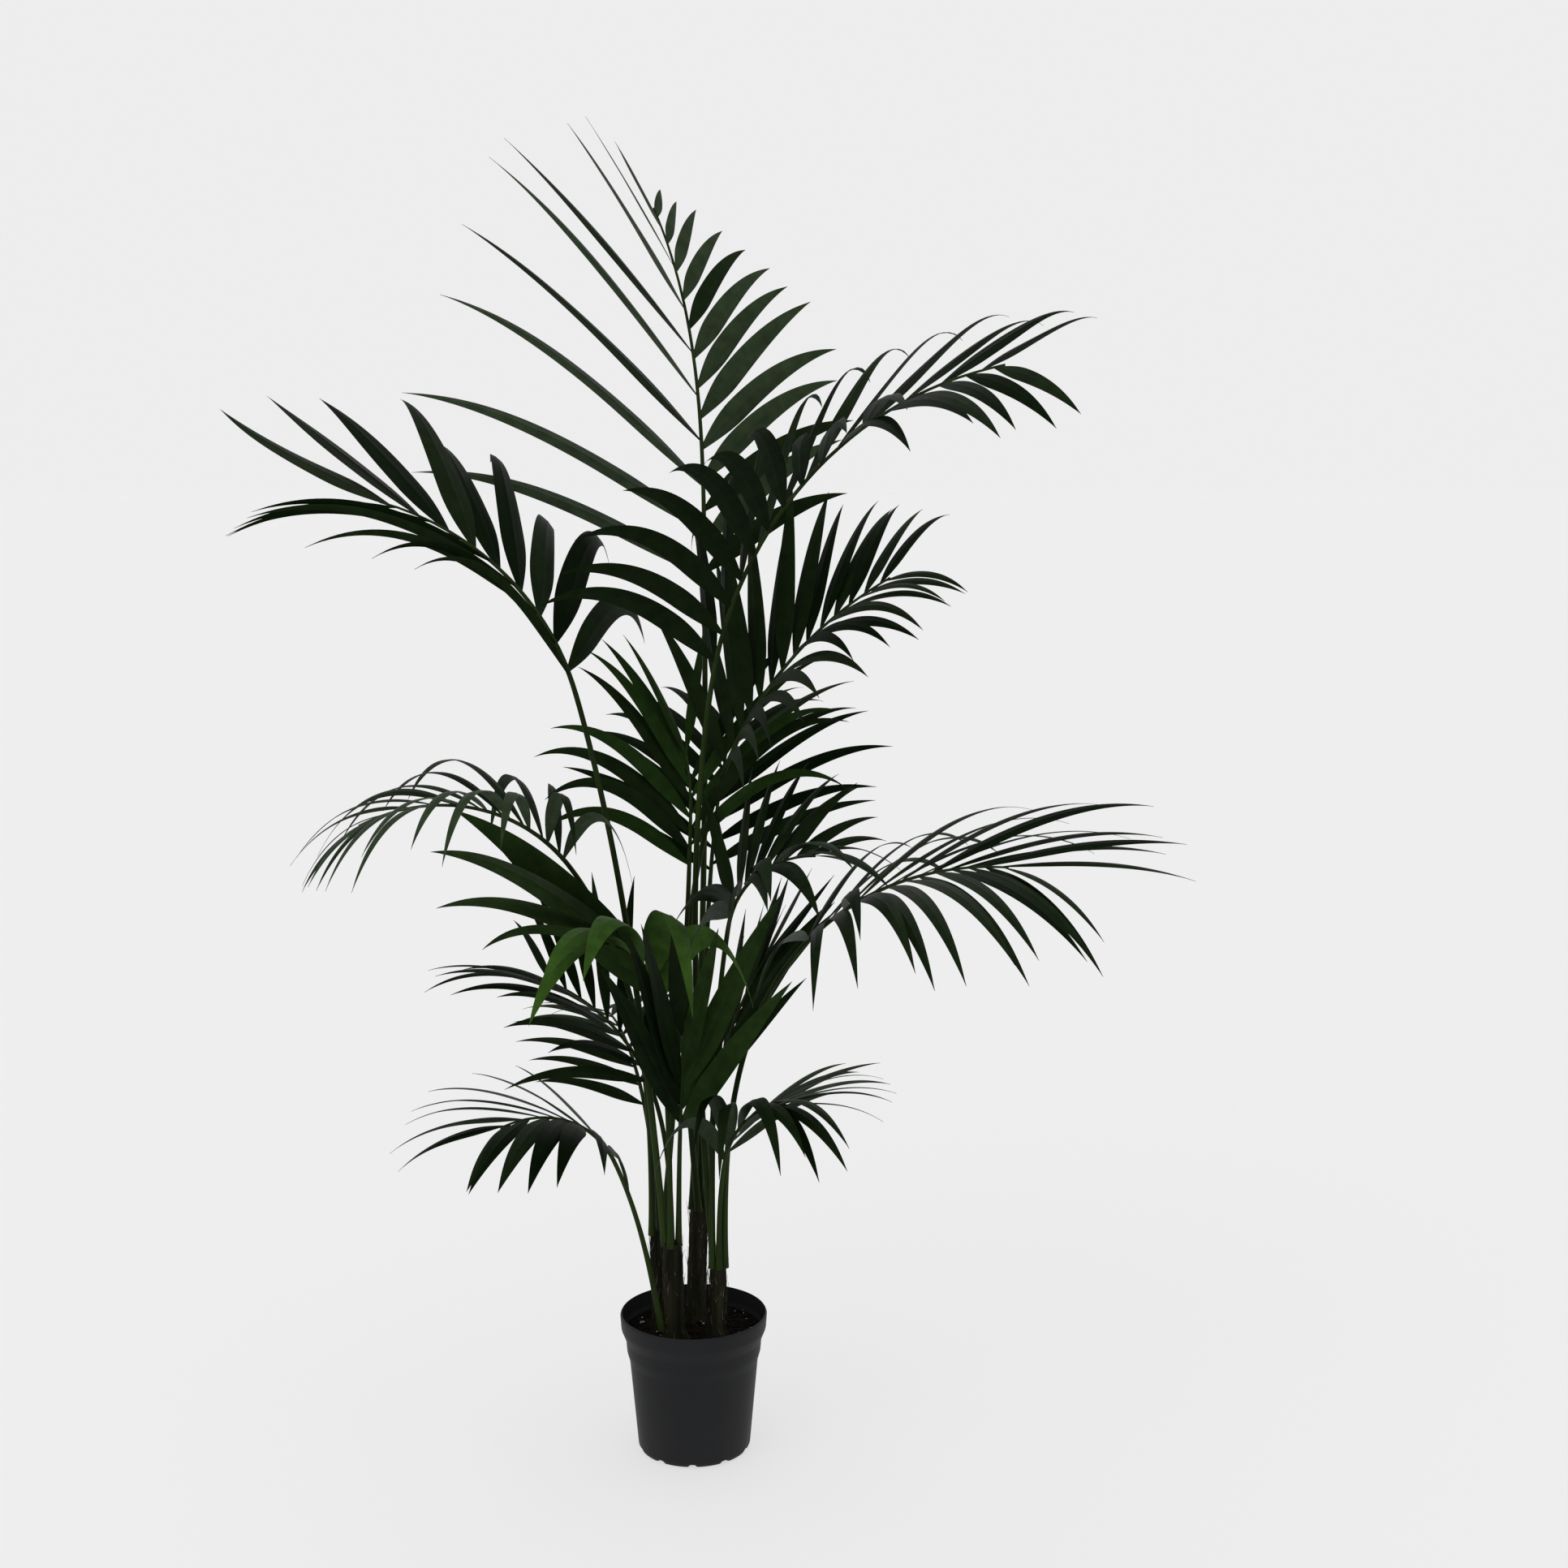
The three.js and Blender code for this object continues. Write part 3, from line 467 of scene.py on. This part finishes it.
def meets_pot(samples):
    over_pot = np.hypot(samples[:, 0], samples[:, 1]) < POT_ZONE["radius"]
    return bool((over_pot & (samples[:, 2] < POT_ZONE["top"])).any())


def meets_stem(samples, stem):
    a = np.array([[*stem["foot"], SOIL_TOP]], float)
    b = np.array([[*stem["head"], stem["top"]]], float)
    return bool((near_segments(samples, a, b) < stem["girth"] + RIB_CLEAR).any())


def meets_rib(samples, rib, own):
    steps = np.arange(RIB_STEPS)
    if own:  # its leaflets grow from the blade's part of it
        steps = steps[(steps + 1) / RIB_STEPS <= rib["neck"]]
    limits = np.array([rib_radius(rib, j / RIB_STEPS) for j in steps]) + RIB_CLEAR
    return bool((near_segments(samples, rib["points"][steps], rib["points"][steps + 1]) < limits).any())


def meets_leaf(samples, other, own):
    o = other["curve"]
    clear, margin = (OWN_CLEAR, OWN_EDGE_CLEAR) if own else (LEAF_CLEAR, EDGE_CLEAR)
    j = slice(OWN_FROM if own else 0, None)
    reach = STEP_REACH[0] * (o["length"] / LEAF_STEPS) + STEP_REACH[1]
    d = samples[:, None] - o["mid"][None, j]
    near = np.abs((d * o["face"][j]).sum(2)) <= clear
    near &= np.abs((d * o["ahead"][j]).sum(2)) <= reach
    near &= np.abs((d * o["across"][j]).sum(2)) < o["half"][j] + margin
    return bool(near.any())


def touches(index, curve):
    """Whether a new leaflet of a frond would meet the pot, a stem, a rib or a leaflet."""
    samples, station = samples_of(curve)
    outer = samples[station >= OWN_FROM]  # past its foot, for what grows from the same rib
    box = box_of(samples, 0)
    if box[0][2] < FLOOR_CLEAR or meets_pot(samples):
        return True
    if any(meets_stem(samples, stem) for stem in STEMS.values()):
        return True
    for g, rib in enumerate(RIBS):
        own = g == index
        if not apart(box, RIB_BOXES[g]) and meets_rib(outer if own else samples, rib, own):
            return True
    for other in grown:
        own = other["frond"] == index
        if not apart(box, other["box"]) and meets_leaf(outer if own else samples, other, own):
            return True
    return False


def grow_leaf(index, side, k):
    """Adds a leaflet in the first position that is free, or none."""
    for share in SHORTER:
        for extra in TURNS:
            curve = leaf_of(index, side, k, extra, share)
            if not touches(index, curve):
                box = box_of(curve["mid"], BOX_MARGIN["leaf"])
                grown.append(dict(frond=index, side=side, k=k, curve=curve, box=box))
                return


for number in range(len(FRONDS)):
    for side in (1, -1):
        for k in range(count_of(number, side)):
            grow_leaf(number, side, k)


# ---- materials --------------------------------------------------------------
PLAIN = (1, 1, 1)
LENGTHWAYS = (1, 1, 0.1)  # stretches the noise along a stalk
FIBROUS = (1, 1, 0.06)
LEAF_GLOSS = (0.5, 0.8, 0.4)
TONE_DETAIL = 4
TONE_EDGES = (0.3, 0.7)  # of the noise, where the darker and the lighter tone are full
GRAIN_DETAIL = 3
RELIEF_DEPTH = 0.0005

# colours of a leaflet's upper and under side, and the tone whose upper side one in four takes instead
LEAF_COLOURS = {
    "deep": dict(upper=(0.0022, 0.0062, 0.0012), under=(0.034, 0.050, 0.034), beside="dark"),
    "dark": dict(upper=(0.0070, 0.0140, 0.0042), under=(0.018, 0.028, 0.0145), beside="deep"),
    # shade: a near-black copy of the leaf green, painted shade for leaflets that stand in the shade of the
    # crown
    "shade": dict(upper=(0.0022, 0.0062, 0.0012), under=(0.0060, 0.0115, 0.0042), beside="dark"),
    "fresh": dict(upper=(0.0115, 0.027, 0.0055), under=(0.014, 0.030, 0.0070), beside="dark"),
    # backlit: a bright copy of the leaf green, painted light for sun shining through the leaflets
    "backlit": dict(upper=(0.030, 0.070, 0.0100), under=(0.034, 0.076, 0.0130), beside="fresh"),
    # pale: a lighter grey-green copy of the leaf green, painted sheen and painted light wash on the leaflets
    # that take it
    "pale": dict(upper=(0.026, 0.040, 0.020), under=(0.031, 0.046, 0.025), beside="dark"),
}


def material(name, color, roughness, shine, variation, scale, bump, grain, stretch=PLAIN, gloss=PLAIN):
    """A procedural surface: two tones mixed by noise, a fine relief, and the colour of its gloss."""
    mat = bpy.data.materials.new(name)
    mat.use_nodes = True
    nodes, links = mat.node_tree.nodes, mat.node_tree.links
    shader = nodes["Principled BSDF"]
    coord = nodes.new("ShaderNodeTexCoord")
    mapping = nodes.new("ShaderNodeMapping")
    mapping.inputs["Scale"].default_value = stretch
    links.new(coord.outputs["Object"], mapping.inputs["Vector"])
    tone = nodes.new("ShaderNodeTexNoise")
    tone.inputs["Scale"].default_value = scale
    tone.inputs["Detail"].default_value = TONE_DETAIL
    links.new(mapping.outputs["Vector"], tone.inputs["Vector"])
    ramp = nodes.new("ShaderNodeValToRGB")
    for stop, place, share in zip(ramp.color_ramp.elements, TONE_EDGES, (1 - variation, 1 + variation)):
        stop.position = place
        stop.color = (*[c * share for c in color], 1)
    links.new(tone.outputs["Fac"], ramp.inputs["Fac"])
    links.new(ramp.outputs["Color"], shader.inputs["Base Color"])
    shader.inputs["Roughness"].default_value = roughness
    shader.inputs["Specular IOR Level"].default_value = shine
    shader.inputs["Specular Tint"].default_value = (*gloss, 1)
    fine = nodes.new("ShaderNodeTexNoise")
    fine.inputs["Scale"].default_value = grain
    fine.inputs["Detail"].default_value = GRAIN_DETAIL
    links.new(mapping.outputs["Vector"], fine.inputs["Vector"])
    relief = nodes.new("ShaderNodeBump")
    relief.inputs["Strength"].default_value = bump
    relief.inputs["Distance"].default_value = RELIEF_DEPTH
    links.new(fine.outputs["Fac"], relief.inputs["Height"])
    links.new(relief.outputs["Normal"], shader.inputs["Normal"])
    return mat


def leaf_skin(name, color):
    return material(name, color, roughness=0.5, shine=0.04, variation=0.25,
                    scale=40, bump=0.2, grain=300, gloss=LEAF_GLOSS)


def stalk_green():
    return material("stalk_green", (0.0135, 0.0250, 0.0045), roughness=0.5, shine=0.06, variation=0.5,
                    scale=30, bump=0.15, grain=200, stretch=LENGTHWAYS)


def sheath_fibre():
    return material("sheath_fibre", (0.0150, 0.0150, 0.0082), roughness=0.9, shine=0.06, variation=0.7,
                    scale=60, bump=0.7, grain=260, stretch=FIBROUS)


def pale_fibre():
    return material("pale_fibre", (0.085, 0.074, 0.052), roughness=0.9, shine=0.1, variation=0.3,
                    scale=60, bump=0.3, grain=260)


def pot_plastic():
    return material("pot_plastic", (0.0125, 0.013, 0.0142), roughness=0.55, shine=0.12, variation=0.08,
                    scale=8, bump=0.12, grain=900)


def soil_earth():
    return material("soil_earth", (0.0065, 0.0048, 0.0036), roughness=0.97, shine=0.1, variation=0.5,
                    scale=90, bump=0.8, grain=400)


def perlite():
    return material("perlite", (0.30, 0.29, 0.26), roughness=0.9, shine=0.2, variation=0.1,
                    scale=200, bump=0.3, grain=600)


# ---- mesh helpers ---------------------------------------------------------
def piece(name, shape, mats, replaced=(), smooth=True):
    """Makes a joined piece of a shape; each face takes the material that its tone numbers."""
    mesh = bpy.data.meshes.new(name)
    mesh.from_pydata([tuple(c * MM for c in p) for p in shape.points], [], shape.faces)
    mesh.update()
    mesh.polygons.foreach_set("use_smooth", [smooth] * len(shape.faces))
    for mat in mats:
        mesh.materials.append(mat)
    mesh.polygons.foreach_set("material_index", shape.tones)
    obj = bpy.data.objects.new(name, mesh)
    bpy.context.collection.objects.link(obj)
    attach(obj, "root")
    if replaced:
        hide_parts(*replaced)


class Shape:
    """Points and faces gathered for one joined piece."""

    def __init__(self):
        self.points, self.faces, self.tones = [], [], []

    def grid(self, rows, closed=False, tone=0):
        """Faces between rows of points; closed joins each row's end to its start."""
        start, n = len(self.points), len(rows[0])
        for row in rows:
            self.points.extend([tuple(map(float, p)) for p in row])
        for r in range(len(rows) - 1):
            for i in range(n if closed else n - 1):
                a, b = start + r * n + i, start + r * n + (i + 1) % n
                self.faces.append((a, b, b + n, a + n))
                self.tones.append(tone)

    def cap(self, row):
        start = len(self.points)
        self.points.extend([tuple(map(float, p)) for p in row])
        self.faces.append(tuple(range(start, start + len(row))))
        self.tones.append(0)

    def tube(self, rows):
        """A skin round rows of points, capped at both ends."""
        self.grid(rows, closed=True)
        self.cap(rows[0])
        self.cap(rows[-1])


def ring(centre, direction, radius, sides, groove=0.0):
    """Points round a stalk or fibre, with a groove along one side."""
    side = unit(cross(direction, np.array(RING_START)))
    up = cross(side, direction)
    row = []
    for i in range(sides):
        a = 2 * math.pi * i / sides
        r = radius * (1 - groove * max(0.0, math.cos(a - math.pi / 2)) ** GROOVE_NARROW)
        row.append(centre + side * (r * math.cos(a)) + up * (r * math.sin(a)))
    return row


# ---- pot --------------------------------------------------------------------
def outside_radius(z):
    for (r0, z0), (r1, z1) in zip(POT_OUTSIDE, POT_OUTSIDE[1:]):
        if z <= z1:
            return blend(r0, r1, (z - z0) / (z1 - z0))
    return POT_OUTSIDE[-1][0]


def rounded(profile):
    """Each corner of an open profile is cut into a short arc."""
    result = [profile[0]]
    for before, corner, after in zip(profile, profile[1:], profile[2:]):
        p0, p1, p2 = (np.array(p, float) for p in (before, corner, after))
        shorter = min(np.linalg.norm(p0 - p1), np.linalg.norm(p2 - p1))
        reach = min(CORNER_REACH, CORNER_SHARE * shorter)
        a, b = p1 + unit(p0 - p1) * reach, p1 + unit(p2 - p1) * reach
        for k in range(CORNER_STEPS + 1):
            t = k / CORNER_STEPS
            result.append(tuple(a * (1 - t) ** 2 + p1 * (2 * t * (1 - t)) + b * t * t))
    result.append(profile[-1])
    return result


def drain_lift(r, z, angle):
    """Height of the pot's skin there, lifted where a drain notch opens its foot."""
    if not (DRAIN_BAND[0] < r < DRAIN_BAND[1] and z < DRAIN_TOP):
        return z
    part = (angle / (2 * math.pi) * DRAIN_COUNT) % 1
    lift = DRAIN_HEIGHT * max(0.0, 1 - (abs(part - 0.5) / DRAIN_WIDTH) ** DRAIN_ARCH)
    return min(z + lift, DRAIN_TOP)


def make_pot():
    heights = [POT_FLOOR + FLOOR_CURVE, *(z for _, z in POT_OUTSIDE[POT_FOOT:-1])]
    inner = [(outside_radius(z) - POT_WALL, z) for z in reversed(heights)]
    underside, lip = (UNDERSIDE_RING, 0), (LIP_INSIDE, POT_HEIGHT)
    floor = [(FLOOR_RADIUS, POT_FLOOR), (FLOOR_RING, POT_FLOOR)]
    rows = []
    for r, z in rounded([underside, *POT_OUTSIDE, lip, *inner, *floor]):
        angles = [2 * math.pi * i / POT_SIDES for i in range(POT_SIDES)]
        rows.append([polar(r, a, drain_lift(r, z, a)) for a in angles])
    shape = Shape()
    shape.tube(rows)
    piece("pot_shell", shape, [pot_plastic()], ["pot"])


# ---- soil ----------------------------------------------------------------
def icosahedron():
    """Corners and faces of a unit icosahedron: two poles, and between them two rings of five."""
    wide, high, fifth = math.sqrt(0.8), math.sqrt(0.2), 2 * math.pi / 5
    upper = [polar(wide, fifth * i, high) for i in range(5)]
    lower = [polar(wide, fifth * (i + 0.5), -high) for i in range(5)]
    faces = []
    for i in range(5):
        a, b = 1 + i, 1 + (i + 1) % 5
        c, d = 5 + a, 5 + b
        faces += [(0, a, b), (a, c, b), (b, c, d), (11, d, c)]
    return [(0, 0, 1), *upper, *lower, (0, 0, -1)], faces


CRUMB_CORNERS, CRUMB_FACES = icosahedron()


def lump(shape, rng, centre, size):
    """A rough, flattened crumb."""
    start = len(shape.points)
    squash = (rng.uniform(*LUMP_WIDE), rng.uniform(*LUMP_WIDE), rng.uniform(*LUMP_FLAT))
    spin = rng.uniform(0, TURN)
    for p in CRUMB_CORNERS:
        k = size * rng.uniform(*LUMP_ROUGH)
        x, y, z = p[0] * k * squash[0], p[1] * k * squash[1], p[2] * k * squash[2]
        turned_x = x * math.cos(spin) - y * math.sin(spin)
        turned_y = x * math.sin(spin) + y * math.cos(spin)
        shape.points.append((centre[0] + turned_x, centre[1] + turned_y, centre[2] + z))
    for face in CRUMB_FACES:
        shape.faces.append(tuple(start + i for i in face))
        shape.tones.append(0)


def soil_edge(z):
    return outside_radius(z) - POT_WALL - SOIL_CLEAR


def mound(r):
    """Height of the soil there, without its waves."""
    return SOIL_TOP + SOIL_MOUND * (1 - r / soil_edge(SOIL_TOP))


def somewhere(rng, inset):
    """Radius and angle of a random place on the soil."""
    return (soil_edge(SOIL_TOP) - inset) * math.sqrt(rng.random()), rng.uniform(0, TURN)


def make_soil():
    rng = random.Random(7)
    angles = [2 * math.pi * i / SOIL_SIDES for i in range(SOIL_SIDES)]
    rows = [[polar(soil_edge(z), a, z) for a in angles] for z in SOIL_SKIRT]
    for j in range(SOIL_RINGS + 1):
        r = soil_edge(SOIL_TOP) * (1 - j / SOIL_RINGS) + SOIL_CENTRE
        row = []
        for a in angles:
            wave = sum(math.sin(a * count + j * turn) for count, turn in SOIL_WAVES) + rng.uniform(-1, 1)
            row.append(polar(r, a, mound(r) - SOIL_SUNK + SOIL_WAVE * wave))
        rows.append(row)
    shape = Shape()
    shape.grid(rows, closed=True)
    for _ in range(SOIL_LUMPS):
        r, a = somewhere(rng, LUMP_INSET)
        place = polar(r, a, mound(r) - LUMP_SUNK + rng.uniform(*LUMP_RISE))
        lump(shape, rng, place, rng.uniform(*LUMP_SIZE))
    piece("soil_mix", shape, [soil_earth()], ["soil"], smooth=False)
    specks = Shape()
    for _ in range(PERLITE_BITS):
        r, a = somewhere(rng, PERLITE_INSET)
        lump(specks, rng, polar(r, a, mound(r) + PERLITE_RISE), rng.uniform(*PERLITE_SIZE))
    piece("soil_specks", specks, [perlite()], smooth=False)


# ---- stems in their sheaths ---------------------------------------------
def sheath_radius(stem, phases, z, a):
    """Radius of a stem's sheath at a height and angle: waves, scars and a ragged upper edge."""
    share = SHEATH_FIT
    for (depth, count, way, rise), phase in zip(SHEATH_WAVES, phases):
        share += depth * math.sin(count * a + way * phase + rise * z)
    scar_phase, edge_phase = phases[len(SHEATH_WAVES)], phases[len(SHEATH_WAVES) + 1]
    ring_place = math.cos(z * SCAR["pace"] + scar_phase + SCAR["tilt"] * math.sin(a))
    share -= SCAR["depth"] * max(0.0, ring_place) ** SCAR["narrow"]
    torn = max(0.0, (z - stem["top"] + RAGGED["start"]) / RAGGED["length"])
    tooth = 1 - RAGGED["tooth"] + RAGGED["tooth"] * math.sin(RAGGED["teeth"] * a + edge_phase)
    return stem_radius(stem, max(z, SOIL_TOP)) * share * (1 - RAGGED["depth"] * torn * tooth)


def make_stem(key, stem, mats):
    rng = random.Random(ord(key))
    phases = [rng.uniform(0, TURN) for _ in range(SHEATH_PHASES)]
    low, high = SOIL_TOP - SHEATH_FOOT, stem["top"] + SHEATH_HEAD
    rows = []
    for j in range(SHEATH_LEVELS + 1):
        z = blend(low, high, j / SHEATH_LEVELS)
        row = []
        for i in range(SHEATH_SIDES):
            a = 2 * math.pi * i / SHEATH_SIDES
            row.append(stem_centre(stem, z) + np.array(polar(sheath_radius(stem, phases, z, a), a, 0.0)))
        rows.append(row)
    shape = Shape()
    shape.grid(rows, closed=True)
    shape.cap(rows[-1])
    for i in range(STRANDS):
        strand(shape, stem, rng, tone=0 if i % PALE_EVERY else 1)
    piece(f"sheath_{key}", shape, mats, [f"stem_{key}"])


def strand(shape, stem, rng, tone):
    """A loose fibre lying on the sheath, its top end lifted off, or a short pale scrap of one."""
    a = rng.uniform(0, TURN)
    z = rng.uniform(SOIL_TOP + STRAND_ENDS["low"], stem["top"] - STRAND_ENDS["high"])
    length, drift, peel = rng.uniform(*STRAND_LENGTH), rng.uniform(*STRAND_DRIFT), rng.uniform(*STRAND_PEEL)
    if tone:
        length, peel = length * SCRAP_SHARE, SCRAP_PEEL
    rows = []
    for j in range(STRAND_STEPS + 1):
        t = j / STRAND_STEPS
        level = min(z + length * t, stem["top"] + STRAND_ENDS["top"])
        r = stem_radius(stem, level) * STRAND_LIFT + peel * t * t
        centre = stem_centre(stem, level) + np.array(polar(r, a + drift * t, 0.0))
        rows.append(ring(centre, UP, STRAND_GIRTH * (1 - STRAND_THINS * t), 4))
    shape.grid(rows, closed=True, tone=tone)


# ---- fronds -----------------------------------------------------------------
def make_stalk(index, rib, green):
    rows = []
    for i in range(STALK_RINGS + 1):
        q = rib["neck"] * i / STALK_RINGS
        direction = unit(along(rib["tangents"], q)) if i else UP  # its foot is cut level
        clasp = 1 + CLASP["swell"] * math.exp(-(q * rib["total"]) / CLASP["fall"])
        radius = rib_radius(rib, q) * clasp
        rows.append(ring(along(rib["points"], q), direction, radius, STALK_SIDES, STALK_GROOVE))
    shape = Shape()
    shape.tube(rows)
    piece(f"petiole_{index + 1:02d}", shape, [green], [f"stalk_{index + 1:02d}"])


def make_rachis(index, rib, green):
    rows = []
    for i in range(RACHIS_RINGS + 1):
        q = blend(rib["neck"] + GAP / rib["total"], 1, i / RACHIS_RINGS)
        direction = unit(along(rib["tangents"], q))
        rows.append(ring(along(rib["points"], q), direction, rib_radius(rib, q), RACHIS_SIDES, RACHIS_GROOVE))
    shape = Shape()
    shape.tube(rows)
    piece(f"rachis_{index + 1:02d}", shape, [green])


# places of a side's tone, its neighbour's and its underside's among a blade's materials
OWN, NEIGHBOUR, UNDERSIDE, MATERIALS = 0, 1, 2, 3
MIX = (OWN, OWN, NEIGHBOUR, OWN)  # one of these is drawn for each leaflet


def add_leaf(shape, leaf, index):
    """A leaflet's upper and under skin, which meet at the edges."""
    c, side, k = leaf["curve"], leaf["side"], leaf["k"]
    phase = TURN * noise(index, k, side + DRAWS["wave"])
    first = 0 if side > 0 else MATERIALS
    drawn = int(2 + 1.99 * noise(index, k, side + DRAWS["tone"]))  # 0 to 3
    upper, under = [], []
    for i in range(LEAF_STEPS + 1):
        u = i / LEAF_STEPS
        half = max(c["half"][i], LEAF_LEAST)
        upper.append([])
        under.append([])
        for way, fold in zip(SECTION, FOLD):
            wave = WAVE["depth"] * way * way * math.sin(WAVE["along"] * u + phase + WAVE["across"] * way)
            height = half * (FOLD_DEPTH * fold + wave)
            across = c["mid"][i] + c["across"][i] * (way * half)
            upper[-1].append(across + c["face"][i] * height)
            under[-1].append(across + c["face"][i] * (height - LEAF_BODY * (1 - way * way)))
    shape.grid(upper, tone=first + MIX[drawn])
    shape.grid([row[::-1] for row in under], tone=first + UNDERSIDE)


def make_blade(index, upper, under):
    shape = Shape()
    for leaf in grown:
        if leaf["frond"] == index:
            add_leaf(shape, leaf, index)
    mats = []
    for tone in DRESS[index]["tone"]:
        mats += [upper[tone], upper[LEAF_COLOURS[tone]["beside"]], under[tone]]
    piece(f"leaflets_{index + 1:02d}", shape, mats, [f"frond_{index + 1:02d}"])


def make_plant():
    upper = {tone: leaf_skin(f"leaf_{tone}", look["upper"]) for tone, look in LEAF_COLOURS.items()}
    under = {tone: leaf_skin(f"leaf_{tone}_under", look["under"]) for tone, look in LEAF_COLOURS.items()}
    green, sheath = stalk_green(), [sheath_fibre(), pale_fibre()]
    for key, stem in STEMS.items():
        make_stem(key, stem, sheath)
    for number, rib in enumerate(RIBS):
        make_stalk(number, rib, green)
        make_rachis(number, rib, green)
        make_blade(number, upper, under)


# ---- studio -------------------------------------------------------------------
def make_floor():
    """A wide pale floor that glows softly, so that the shade on it stays faint."""
    corners = [(-FLOOR_HALF, -FLOOR_HALF, 0), (FLOOR_HALF, -FLOOR_HALF, 0),
               (FLOOR_HALF, FLOOR_HALF, 0), (-FLOOR_HALF, FLOOR_HALF, 0)]
    mesh = bpy.data.meshes.new("floor")
    mesh.from_pydata(corners, [], [(0, 1, 2, 3)])
    floor = bpy.data.objects.new("floor", mesh)
    bpy.context.collection.objects.link(floor)
    mat = bpy.data.materials.new("floor_pale")
    mat.use_nodes = True
    shader = mat.node_tree.nodes["Principled BSDF"]
    shader.inputs["Base Color"].default_value = (FLOOR_TONE, FLOOR_TONE, FLOOR_TONE, 1)
    shader.inputs["Emission Color"].default_value = (1, 1, 1, 1)
    shader.inputs["Emission Strength"].default_value = FLOOR_GLOW
    shader.inputs["Roughness"].default_value = FLOOR_ROUGHNESS
    shader.inputs["Specular IOR Level"].default_value = FLOOR_SHINE
    mesh.materials.append(mat)


def make_key_light():
    light = bpy.data.lights.new("key", "AREA")
    light.energy = KEY_POWER
    light.size = KEY_SIZE
    obj = bpy.data.objects.new("key", light)
    obj.location = KEY_PLACE
    obj.rotation_euler = (Vector(KEY_TARGET) - Vector(KEY_PLACE)).to_track_quat("-Z", "Y").to_euler()
    bpy.context.collection.objects.link(obj)


def make_surroundings():
    world = bpy.data.worlds.new("studio")
    bpy.context.scene.world = world
    world.use_nodes = True
    sky = world.node_tree.nodes["Background"]
    sky.inputs["Color"].default_value = (1, 1, 1, 1)
    sky.inputs["Strength"].default_value = STUDIO_LIGHT
    bpy.context.scene.view_settings.view_transform = "Standard"


def make_camera():
    camera = bpy.data.cameras.new("camera")
    camera.sensor_width = SENSOR_MM
    camera.lens = LENS_MM
    camera.clip_end = CAMERA_SIGHT
    obj = bpy.data.objects.new("camera", camera)
    obj.location = CAMERA_PLACE
    obj.rotation_euler = (math.radians(90 - CAMERA_DOWN), 0, 0)
    bpy.context.collection.objects.link(obj)
    bpy.context.scene.camera = obj


make_pot()
make_soil()
make_plant()
make_floor()
make_surroundings()
make_key_light()
make_camera()

bpy.context.view_layer.update()
